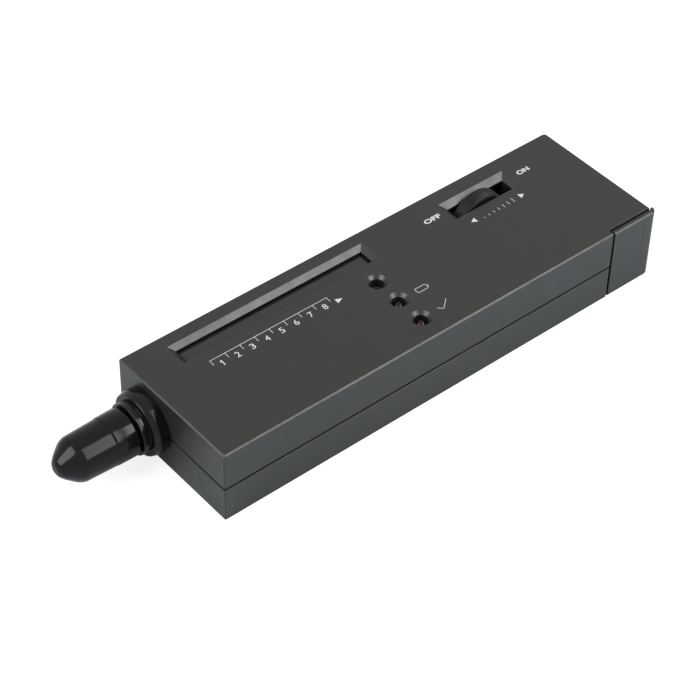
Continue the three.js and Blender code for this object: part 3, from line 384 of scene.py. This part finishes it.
SCALE_LAMPS = [f"scale_lamp_{index + 1:02d}" for index in range(12)]
NODE_FINISHES = {
    "case_grey": ["top_shell", "bottom_shell", "battery_cover"],
    "smoked_red": ["display_window"],
    "gloss_black": ["probe_cap"],
    "matt_black": ["probe_collar", "probe_plug"],
    "wheel_black": ["volume_wheel"],
    "copper": ["probe_tip"],
    "steel": ["contact_plate", "wheel_screw", *numbered("case_screw", 4), *numbered("board_screw", 3),
              *numbered("volume_board_screw", 2)],
    "nickel": ["contact_spring", "tip_spring", "control_shaft", "battery_terminal_plus",
               "battery_terminal_minus", "clip_socket", "clip_stud"],
    "board_green": ["main_board", "volume_board"],
    "lamp_red": ["ready_lamp", "battery_lamp", *SCALE_LAMPS[:4]],
    "lamp_yellow": SCALE_LAMPS[4:8],
    "lamp_green": SCALE_LAMPS[8:],
    "ceramic": ["probe_nose", "heater_element"],
    "chip_black": ["sounder", "driver_chip", "amplifier_chip", "volume_control"],
    "trimmer_blue": ["trimmer"],
    "sleeve_blue": numbered("capacitor", 2),
    "battery_shell": ["battery"],
    "lead_red": ["probe_lead_red", "battery_lead_red"],
    "lead_black": ["battery_lead_black", "battery_clip"],
    "lead_white": ["probe_lead_white", "volume_harness"],
}


def dress_nodes():
    for finish, names in NODE_FINISHES.items():
        for name in names:
            slots = nodes[name].data.materials
            slots.clear()
            slots.append(finishes[finish])


# Casing

# The steep near sides of the window and the wheel's slot, as (x_low, x_high, y_low, y_high)
NEAR_SIDES = ((11.4, 73.4, 30.6, 31.05), (98.5, 121.5, 29.55, 30.0))
NEAR_SIDE_BOTTOM = 20.4


def in_near_side(point):
    x, y, z = point
    return z > NEAR_SIDE_BOTTOM and any(x_low < x < x_high and y_low < y < y_high
                                        for x_low, x_high, y_low, y_high in NEAR_SIDES)


COVER_SKIN = 0.35
COVER_TOP = 21.65
GRIP_FROM_FRONT = 8.5
GRIP_FROM_REAR = 2.1
GRIP_FROM_EDGE = 0.5


# The grooved faces of the cover's two arms, apart from their long edges
def in_grip(point):
    x, y, z = point
    low, high = box_mm("battery_cover")
    beside = min(y - low[1], high[1] - y) < COVER_SKIN
    along = low[0] + GRIP_FROM_FRONT < x < high[0] - GRIP_FROM_REAR
    return beside and along and GRIP_FROM_EDGE < z < COVER_TOP - GRIP_FROM_EDGE


def dress_casing():
    refined("top_shell", "roof_shell", finishes["case_grey"], "casing", unbroken=in_near_side)
    refined("bottom_shell", "floor_shell", finishes["case_grey"], "casing")
    refined("battery_cover", "cover_shell", finishes["case_grey"], "cover", FINE_BREAK, in_grip, in_grip)
    refined("display_window", "window_pane", finishes["smoked_red"], "casing", FINE_BREAK)
    refined("contact_plate", "touch_plate", finishes["steel"], "casing", FINE_BREAK)
    for node in numbered("case_screw", 4):
        refined(node, node + "_steel", finishes["steel"], "casing", FINE_BREAK)


# The window's upright walls, as (x_low, x_high, y_low, y_high)
WINDOW_OPENING = (13.05, 71.75, 31.0, 36.23)
# Heights and thickness of the painted shade lining in the window
SHADE_LINING_HEIGHTS = (20.01, 20.78)
SHADE_LINING_THICKNESS = 0.1


# Painted shade: a black lining on the window's upright walls above the pane, standing in for the shadow along
# them
def dress_window():
    x_low, x_high, y_low, y_high = WINDOW_OPENING
    low, high = SHADE_LINING_HEIGHTS
    bars = [(x_low, x_high, y_low, y_low + SHADE_LINING_THICKNESS),
            (x_low, x_high, y_high - SHADE_LINING_THICKNESS, y_high),
            (x_low, x_low + SHADE_LINING_THICKNESS, y_low, y_high),
            (x_high - SHADE_LINING_THICKNESS, x_high, y_low, y_high)]
    bm = bmesh.new()
    for x_start, x_end, y_start, y_end in bars:
        add_box(bm, (x_start, y_start, low), (x_end, y_end, high))
    piece_from(bm, "window_painted_shade", finishes["seal_black"], "casing")


# Probe

PROBE_Y, PROBE_Z = middle_mm("probe_cap")[1], middle_mm("probe_cap")[2]
CAP_ROUNDING = 0.6
COLLAR_ROUNDING = 0.22
NOSE_ROUNDING = 0.15
TIP_ROUNDING = 0.1

# Profiles as (x from the front face, radius) pairs
CAP_PROFILE = [
    (-27.5, 0), (-27.5, 1.3), (-27, 2.3), (-26, 3.35), (-24.7, 4.4), (-23.3, 5.5), (-21.9, 6.05),
    (-13, 6.29), (-12.65, 6.42), (-6.9, 6.5), (-6.9, 5.2), (-19, 5.2), (-25.3, 1.4), (-25.3, 0),
]
COLLAR_PROFILE = [
    (-15, 3.5), (-15, 5), (-6.3, 5), (-6.3, 7), (-4.7, 7), (-4.7, 6.5), (-4.1, 6.5), (-4.1, 8.3),
    (-2.7, 8.75), (0, 8.75), (0, 5.9), (1.9, 5.9), (1.9, 8.3), (3.9, 8.3), (3.9, 3.5), (-15, 3.5),
]
NOSE_PROFILE = [
    (-21.3, 0.8), (-21.3, 1.5), (-18, 3.3), (-4, 3.3), (-4, 1.9), (-18.5, 1.9), (-18.5, 0.8), (-21.3, 0.8),
]
TIP_PROFILE = [
    (-25, 0), (-25, 0.25), (-24.1, 0.6), (-18.2, 0.6), (-18.2, 1.6), (-16.7, 1.6), (-16.7, 0.9), (-13, 0.9),
    (-13, 0),
]


def dress_probe():
    axis = (0, PROBE_Y, PROBE_Z)
    piece_from(turned(rounded(CAP_PROFILE, CAP_ROUNDING), "x", axis), "cap_shell",
               finishes["gloss_black"], "cap", ("probe_cap",))
    piece_from(turned(rounded(COLLAR_PROFILE, COLLAR_ROUNDING), "x", axis), "collar_ring",
               finishes["matt_black"], "casing", ("probe_collar",))
    piece_from(turned(rounded(NOSE_PROFILE, NOSE_ROUNDING), "x", axis, SMALL_SIDES), "nose_tube",
               finishes["ceramic"], "casing", ("probe_nose",))
    piece_from(turned(rounded(TIP_PROFILE, TIP_ROUNDING), "x", axis, SMALL_SIDES), "tip_rod",
               finishes["copper"], "tip", ("probe_tip",))


SPRING_WIRE = 0.18
SPRING_TURNS = 6
SPRING_STEPS = 32
SPRING_SIDES = 12


# The tip's spring, drawn at its rest length; the real one shortens as the tip is pressed in
def dress_spring():
    low, high = box_mm("tip_spring")
    radius = (high[1] - low[1]) / 2 - SPRING_WIRE
    start, length = low[0] + SPRING_WIRE, high[0] - low[0] - 2 * SPRING_WIRE
    steps = SPRING_TURNS * SPRING_STEPS
    bm = bmesh.new()
    rings = []
    for step in range(steps + 1):
        turn = step / SPRING_STEPS * 2 * math.pi
        ring = []
        for side in range(SPRING_SIDES):
            angle = side / SPRING_SIDES * 2 * math.pi
            reach = radius + SPRING_WIRE * math.cos(angle)
            x = start + length * step / steps + SPRING_WIRE * math.sin(angle)
            y = PROBE_Y + reach * math.cos(turn)
            z = PROBE_Z + reach * math.sin(turn)
            ring.append(bm.verts.new(place(x, y, z)))
        rings.append(ring)
    bm.faces.new(rings[0][::-1])
    bm.faces.new(rings[-1])
    coil = piece_from(skin(bm, rings), "spring_coil", finishes["nickel"], "casing", ("tip_spring",))
    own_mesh(coil)


# Wheel

WHEEL_RIBS = 60
RIB_DEPTH = 0.32
RIB_STEPS = 8
RIB_FULLNESS = 0.55
RIM_START = 7
RIM_EDGE = 0.35
RECESS_DEPTH = 0.3
RECESS_INNER = 3.1
RECESS_OUTER = 6.2
SCREW_SEAT_RADIUS = 2.2
SCREW_SEAT_DEPTH = 1.1
SCREW_BORE_RADIUS = 0.75
SHAFT_BORE_RADIUS = 1.8
SHAFT_BORE_DEPTH = 2.1


# The rim's radius, lower between the ribs
def rib_reach(radius, angle):
    if radius < RIM_START:
        return radius
    phase = angle / (2 * math.pi) * WHEEL_RIBS
    crown = min(1.0, max(0.0, math.cos(phase * 2 * math.pi) + RIB_FULLNESS))
    return radius - RIB_DEPTH * (1 - crown)


def dress_wheel():
    low, high = box_mm("volume_wheel")
    centre = (low + high) / 2
    near, far = low[1] - centre[1], high[1] - centre[1]
    outer = (high[0] - low[0]) / 2
    profile = [
        (near, SCREW_SEAT_RADIUS), (near, RECESS_INNER - RECESS_DEPTH), (near + RECESS_DEPTH, RECESS_INNER),
        (near + RECESS_DEPTH, RECESS_OUTER), (near, RECESS_OUTER + RECESS_DEPTH), (near, outer - RIM_EDGE),
        (near + RIM_EDGE, outer), (far - RIM_EDGE, outer), (far, outer - RIM_EDGE),
        (far, SHAFT_BORE_RADIUS), (far - SHAFT_BORE_DEPTH, SHAFT_BORE_RADIUS),
        (far - SHAFT_BORE_DEPTH, SCREW_BORE_RADIUS), (near + SCREW_SEAT_DEPTH, SCREW_BORE_RADIUS),
        (near + SCREW_SEAT_DEPTH, SCREW_SEAT_RADIUS), (near, SCREW_SEAT_RADIUS),
    ]
    piece_from(turned(profile, "y", centre, WHEEL_RIBS * RIB_STEPS, rib_reach), "thumb_wheel",
               finishes["wheel_black"], "wheel", ("volume_wheel",))


# Round lamps and the sounder under the three holes

BOARD_TOP = box_mm("main_board")[1][2]
LENS_RADIUS = 1.5
LENS_FLANGE = (14.9, 15.8, 1.9)
LENS_STEPS = 12
LEG_SIZE = 0.5
LEG_SPACING = 1.27
SOUNDER_HOLE_RADIUS = 1.4
SOUNDER_HOLE_DEPTH = 1.2
SOUNDER_ROUNDING = 0.4


def dress_lamp(node):
    low, high = box_mm(node)
    x, y, top = (low[0] + high[0]) / 2, (low[1] + high[1]) / 2, high[2]
    flange_low, flange_high, flange_radius = LENS_FLANGE
    angles = [step / LENS_STEPS * math.pi / 2 for step in range(LENS_STEPS)]
    dome = [(top - LENS_RADIUS + LENS_RADIUS * math.sin(angle), LENS_RADIUS * math.cos(angle))
            for angle in angles]
    profile = [(flange_low, 0), (flange_low, flange_radius), (flange_high, flange_radius),
               (flange_high, LENS_RADIUS), *dome, (top, 0)]
    piece_from(turned(profile, "z", (x, y, 0), SMALL_SIDES), node + "_lens",
               finishes["lamp_red"], "casing", (node,))
    bm = bmesh.new()
    for side in (-1, 1):
        leg = x + side * LEG_SPACING
        add_box(bm, (leg - LEG_SIZE / 2, y - LEG_SIZE / 2, BOARD_TOP),
                (leg + LEG_SIZE / 2, y + LEG_SIZE / 2, flange_low))
    piece_from(bm, node + "_legs", finishes["steel"], "casing")


def dress_sounder():
    low, high = box_mm("sounder")
    radius, bottom, top = (high[0] - low[0]) / 2, low[2], high[2]
    hole = top - SOUNDER_HOLE_DEPTH
    profile = [(bottom, 0), (bottom, radius), (top, radius), (top, SOUNDER_HOLE_RADIUS),
               (hole, SOUNDER_HOLE_RADIUS), (hole, 0)]
    centre = ((low[0] + high[0]) / 2, (low[1] + high[1]) / 2, 0)
    piece_from(turned(rounded(profile, SOUNDER_ROUNDING), "z", centre), "sounder_can",
               finishes["chip_black"], "casing", ("sounder",))


# Battery: a jacket rolled in at both ends, end plates, a plain band and the two snaps

JACKET_CORNER = 2.0
JACKET_LEAST_CORNER = 0.3
JACKET_EDGE = ((0.35, 1.3), (0, 1.2), (0, 0.5), (0.15, 0.2), (0.5, 0.06))
PLATE_INSET = 1.4
PLATE_OUTER = 0.1
PLATE_INNER = 0.3
BAND_LENGTH = 9.0
BAND_FROM_END = 0.6
BAND_SINK = 0.03


def jacket_outline(inset):
    low, high = box_mm("battery")
    y_low, z_low = low[1] + inset, low[2] + inset
    y_high, z_high = high[1] - inset, high[2] - inset
    radius = max(JACKET_LEAST_CORNER, JACKET_CORNER - inset)
    corners = [(y_high - radius, z_high - radius, 0), (y_low + radius, z_high - radius, 1),
               (y_low + radius, z_low + radius, 2), (y_high - radius, z_low + radius, 3)]
    points = []
    for y, z, quarter in corners:
        for step in range(CORNER_STEPS + 1):
            angle = (quarter + step / CORNER_STEPS) * math.pi / 2
            points.append((y + radius * math.cos(angle), z + radius * math.sin(angle)))
    return points


def dress_battery():
    low, high = box_mm("battery")
    start, end = low[0], high[0]
    jacket = from_ends(start, end, JACKET_EDGE, JACKET_EDGE[::-1])
    piece_from(lofted(jacket_outline, jacket), "battery_jacket", finishes["battery_shell"], "casing",
               ("battery",))
    front = [(start + PLATE_OUTER, PLATE_INSET), (start + PLATE_INNER, PLATE_INSET)]
    piece_from(lofted(jacket_outline, front), "battery_front_plate", finishes["lead_black"], "casing")
    rear = [(end - PLATE_INNER, PLATE_INSET), (end - PLATE_OUTER, PLATE_INSET)]
    piece_from(lofted(jacket_outline, rear), "battery_rear_plate", finishes["steel"], "casing")
    band = [(end - BAND_LENGTH, BAND_SINK), (end - BAND_LENGTH, 0), (end - BAND_FROM_END, 0),
            (end - BAND_FROM_END, BAND_SINK)]
    piece_from(lofted(jacket_outline, band), "battery_band", finishes["steel"], "casing")


# The stud and the socket that the battery's clip snaps onto
PLUS_FRONT = ((0, 0), (0, 2.5), (0.5, 2.9), (1.1, 2.9), (1.7, 2.5))
PLUS_REAR = ((0.3, 2.5), (0, 2.9), (0, 0))
PLUS_ROUNDING = 0.2
MINUS_FRONT = ((0, 3.6), (0, 4.1), (1.2, 4.0))
MINUS_REAR = ((0.3, 4.0), (0, 4.3), (0, 0), (0.6, 0), (0.6, 3.2))
MINUS_INSIDE = ((0.5, 3.2), (0, 3.6))
PETALS = 6
PETAL_DEPTH = 0.05


# The socket's radius, drawn in a little at each petal
def petal_reach(radius, angle):
    return radius * (1 - PETAL_DEPTH * (1 + math.cos(PETALS * angle)) / 2)


def dress_terminals():
    low, high = box_mm("battery_terminal_plus")
    plus = from_ends(low[0], high[0], PLUS_FRONT, PLUS_REAR)
    centre = (0, (low[1] + high[1]) / 2, (low[2] + high[2]) / 2)
    piece_from(turned(rounded(plus, PLUS_ROUNDING), "x", centre, SMALL_SIDES), "snap_plus",
               finishes["nickel"], "casing", ("battery_terminal_plus",))
    low, high = box_mm("battery_terminal_minus")
    minus = from_ends(low[0], high[0], MINUS_FRONT, MINUS_REAR) + from_ends(low[0], high[0], MINUS_INSIDE, ())
    centre = (0, (low[1] + high[1]) / 2, (low[2] + high[2]) / 2)
    piece_from(turned(minus, "x", centre, SMALL_SIDES, petal_reach), "snap_minus", finishes["nickel"],
               "casing", ("battery_terminal_minus",))


# Prints on the roof

INK_LOW = 21.99
INK_HIGH = 22.02
LINE_WIDTH = 0.14
BOLD = 0.035
FONT_RAISE = 0.1


# A flat outline in x and y, raised to the ink's thickness
def add_ink(bm, outline):
    lower = [bm.verts.new(place(x, y, INK_LOW)) for x, y in outline]
    upper = [bm.verts.new(place(x, y, INK_HIGH)) for x, y in outline]
    bm.faces.new(upper)
    bm.faces.new(lower[::-1])
    skin(bm, [lower, upper])


def add_line(bm, start, end):
    start, end = Vector(start), Vector(end)
    along = (end - start).normalized() * LINE_WIDTH / 2
    across = Vector((-along.y, along.x))
    add_ink(bm, [start - along - across, end + along - across, end + along + across, start - along + across])


def add_path(bm, points):
    for start, end in zip(points, points[1:]):
        add_line(bm, start, end)


# Words fitted into the rectangle from (x_low, y_low) to (x_high, y_high)
def add_words(bm, words, x_low, x_high, y_low, y_high, weight=0.0):
    curve = bpy.data.curves.new("words", "FONT")
    curve.body = words
    curve.offset = weight
    curve.extrude = FONT_RAISE
    holder = bpy.data.objects.new("words", curve)
    bpy.context.scene.collection.objects.link(holder)
    shapes = bpy.data.meshes.new_from_object(holder.evaluated_get(bpy.context.evaluated_depsgraph_get()))
    low = Vector([min(vertex.co[i] for vertex in shapes.vertices) for i in range(3)])
    high = Vector([max(vertex.co[i] for vertex in shapes.vertices) for i in range(3)])
    for vertex in shapes.vertices:
        share = [(vertex.co[i] - low[i]) / (high[i] - low[i]) for i in range(3)]
        vertex.co = place(x_low + share[0] * (x_high - x_low), y_low + share[1] * (y_high - y_low),
                          INK_LOW + share[2] * (INK_HIGH - INK_LOW))
    bm.from_mesh(shapes)
    bpy.data.objects.remove(holder)
    bpy.data.curves.remove(curve)
    bpy.data.meshes.remove(shapes)


SCALE_START = 16.7
SCALE_SPACING = 4.55
SCALE_LINE = 27.38
SCALE_MARKS = 9
TICK_LENGTH = 1.7
DIGIT_LOW = 24.08
DIGIT_HIGH = 25.98
DIGIT_HALF = 0.62
ONE_STEM = 0.15
ONE_FLAG = 0.5
FLAG_TOP = 0.4
FLAG_BOTTOM = 0.68
FLAG_ROOT = 0.42
SCALE_POINTER = [(54.3, 23.98), (56.2, 24.78), (54.3, 25.58)]


# The digit one, as a stem with a flag
def add_one(bm, middle):
    right, left, flag = middle + ONE_STEM, middle - ONE_STEM, middle - ONE_FLAG
    add_ink(bm, [(right, DIGIT_LOW), (right, DIGIT_HIGH), (left, DIGIT_HIGH), (flag, DIGIT_HIGH - FLAG_TOP),
                 (flag, DIGIT_HIGH - FLAG_BOTTOM), (left, DIGIT_HIGH - FLAG_ROOT), (left, DIGIT_LOW)])


# The line beside the window, its marks and the numbers between them
def print_scale():
    bm = bmesh.new()
    end = SCALE_START + (SCALE_MARKS - 1) * SCALE_SPACING
    add_line(bm, (SCALE_START, SCALE_LINE), (end, SCALE_LINE))
    for mark in range(SCALE_MARKS):
        x = SCALE_START + mark * SCALE_SPACING
        add_line(bm, (x, SCALE_LINE - TICK_LENGTH), (x, SCALE_LINE - LINE_WIDTH))
    add_one(bm, SCALE_START + SCALE_SPACING / 2)
    for number in range(2, SCALE_MARKS):
        x = SCALE_START + (number - 0.5) * SCALE_SPACING
        add_words(bm, str(number), x - DIGIT_HALF, x + DIGIT_HALF, DIGIT_LOW, DIGIT_HIGH)
    add_ink(bm, SCALE_POINTER)
    piece_from(bm, "scale_print", finishes["ink_white"], "casing")


OFF_BOX = (91.1, 96.45, 32.78, 34.38)
ON_BOX = (123.6, 127.7, 32.68, 34.28)
FRONT_POINTER = [(100.9, 26.38), (102.5, 25.48), (102.5, 27.28)]
REAR_POINTER = [(119.4, 26.28), (117.8, 27.18), (117.8, 25.38)]
LEVEL_BARS = 7
LEVEL_START = 104.9
LEVEL_SPACING = 1.75
LEVEL_LOW = 25.5
LEVEL_RISE = 0.22


# OFF and ON at the wheel, with rising level bars between two pointers
def print_wheel_marks():
    bm = bmesh.new()
    add_words(bm, "OFF", *OFF_BOX, BOLD)
    add_words(bm, "ON", *ON_BOX, BOLD)
    add_ink(bm, FRONT_POINTER)
    add_ink(bm, REAR_POINTER)
    for bar in range(LEVEL_BARS):
        x = LEVEL_START + bar * LEVEL_SPACING
        add_line(bm, (x, LEVEL_LOW), (x, LEVEL_LOW + (bar + 1) * LEVEL_RISE))
    piece_from(bm, "wheel_print", finishes["ink_white"], "casing")


BATTERY_OUTLINE = [(72.3, 14.38), (75.7, 14.38), (75.7, 15.98), (72.3, 15.98), (72.3, 14.38)]
BATTERY_END = [(76.1, 14.88), (76.1, 15.48)]
TICK = [(72.3, 7.28), (73.5, 6.18), (76.3, 8.58)]


# A battery's outline and a tick, beside the two lamps
def print_lamp_marks():
    bm = bmesh.new()
    add_path(bm, BATTERY_OUTLINE)
    add_path(bm, BATTERY_END)
    add_path(bm, TICK)
    piece_from(bm, "lamp_print", finishes["ink_white"], "casing")


# Stage

# One where a ray is of any of the kinds named, and zero elsewhere
def light_path(tree, *outputs):
    path = tree.nodes.new("ShaderNodeLightPath")
    value = path.outputs[outputs[0]]
    for name in outputs[1:]:
        larger = tree.nodes.new("ShaderNodeMath")
        larger.operation = "MAXIMUM"
        tree.links.new(value, larger.inputs[0])
        tree.links.new(path.outputs[name], larger.inputs[1])
        value = larger.outputs[0]
    return value


def pick(tree, value, without, with_it):
    mix = tree.nodes.new("ShaderNodeMixShader")
    tree.links.new(value, mix.inputs[0])
    tree.links.new(without, mix.inputs[1])
    tree.links.new(with_it, mix.inputs[2])
    return mix.outputs[0]


# The world glows white to the camera, and less in reflections and on matt surfaces
def add_world():
    world = bpy.data.worlds.new("studio")
    bpy.context.scene.world = world
    world.use_nodes = True
    tree = world.node_tree
    tree.nodes.clear()
    output = tree.nodes.new("ShaderNodeOutputWorld")
    levels = []
    for strength, tint in ((WORLD_DIFFUSE, WHITE), (WORLD_MIRRORED, WORLD_TINT), (WORLD_SEEN, WHITE)):
        level = tree.nodes.new("ShaderNodeBackground")
        level.inputs["Color"].default_value = (*tint, 1)
        level.inputs["Strength"].default_value = strength
        levels.append(level.outputs[0])
    mirrored = pick(tree, light_path(tree, "Is Glossy Ray", "Is Transmission Ray"), levels[0], levels[1])
    seen = pick(tree, light_path(tree, "Is Camera Ray"), mirrored, levels[2])
    tree.links.new(seen, output.inputs["Surface"])


# The floor glows white to the camera and a little in reflections, and keeps the object's shadow in both
def floor_material():
    material = bpy.data.materials.new("floor_white")
    material.use_nodes = True
    tree = material.node_tree
    tree.nodes.clear()
    output = tree.nodes.new("ShaderNodeOutputMaterial")
    levels = []
    for albedo, strength, tint in ((FLOOR_ALBEDO, 0, WHITE),
                                   (FLOOR_MIRRORED_ALBEDO, FLOOR_MIRRORED_GLOW, FLOOR_TINT),
                                   (FLOOR_SEEN_ALBEDO, FLOOR_SEEN_GLOW, WHITE)):
        matt = tree.nodes.new("ShaderNodeBsdfDiffuse")
        matt.inputs["Color"].default_value = (*[albedo * channel for channel in tint], 1)
        glow = tree.nodes.new("ShaderNodeEmission")
        glow.inputs["Strength"].default_value = strength
        added = tree.nodes.new("ShaderNodeAddShader")
        tree.links.new(matt.outputs[0], added.inputs[0])
        tree.links.new(glow.outputs[0], added.inputs[1])
        levels.append(added.outputs[0])
    mirrored = pick(tree, light_path(tree, "Is Glossy Ray", "Is Transmission Ray"), levels[0], levels[1])
    seen = pick(tree, light_path(tree, "Is Camera Ray"), mirrored, levels[2])
    tree.links.new(seen, output.inputs["Surface"])
    return material


def add_floor():
    bm = bmesh.new()
    corners = [(-1, -1), (1, -1), (1, 1), (-1, 1)]
    bm.faces.new([bm.verts.new((x * FLOOR_HALF, y * FLOOR_HALF, 0)) for x, y in corners])
    mesh = bpy.data.meshes.new("floor")
    bm.to_mesh(mesh)
    bm.free()
    mesh.materials.append(floor_material())
    floor = bpy.data.objects.new("floor", mesh)
    bpy.context.scene.collection.objects.link(floor)


# A softbox at a place from the middle of the part, its back turned along away
def add_softbox(name, offset, size, power, away):
    lamp = bpy.data.lights.new(name, "AREA")
    lamp.shape = "RECTANGLE"
    lamp.size, lamp.size_y = size
    lamp.energy = power
    holder = bpy.data.objects.new(name, lamp)
    holder.location = (cad_box[0] + cad_box[1]) / 2 + Vector(offset)
    holder.rotation_euler = Vector(away).to_track_quat("Z", "Y").to_euler()
    holder.visible_camera = False
    bpy.context.scene.collection.objects.link(holder)


def add_camera():
    data = bpy.data.cameras.new("camera")
    data.lens = CAMERA_LENS
    data.sensor_width = CAMERA_SENSOR
    camera = bpy.data.objects.new("camera", data)
    bpy.context.scene.collection.objects.link(camera)
    forward = Vector(CAMERA_FORWARD).normalized()
    right = Vector(CAMERA_RIGHT)
    right = (right - forward * right.dot(forward)).normalized()
    up = right.cross(forward)
    turn = Matrix((right, up, -forward)).transposed().to_4x4()
    camera.matrix_world = Matrix.Translation(place(*CAMERA_PLACE)) @ turn
    bpy.context.scene.camera = camera


dress_nodes()
dress_casing()
dress_window()
dress_probe()
dress_spring()
dress_wheel()
dress_lamp("ready_lamp")
dress_lamp("battery_lamp")
dress_sounder()
dress_battery()
dress_terminals()
print_scale()
print_wheel_marks()
print_lamp_marks()
add_world()
add_floor()
add_softbox("key_light", KEY_PLACE, KEY_SIZE, KEY_POWER, (0, *KEY_PLACE[1:]))
add_softbox("strip_light", STRIP_PLACE, STRIP_SIZE, STRIP_POWER, (0, *STRIP_PLACE[1:]))
add_softbox("side_light", SIDE_PLACE, SIDE_SIZE, SIDE_POWER, SIDE_PLACE)
add_camera()
bpy.context.scene.view_settings.view_transform = "Standard"
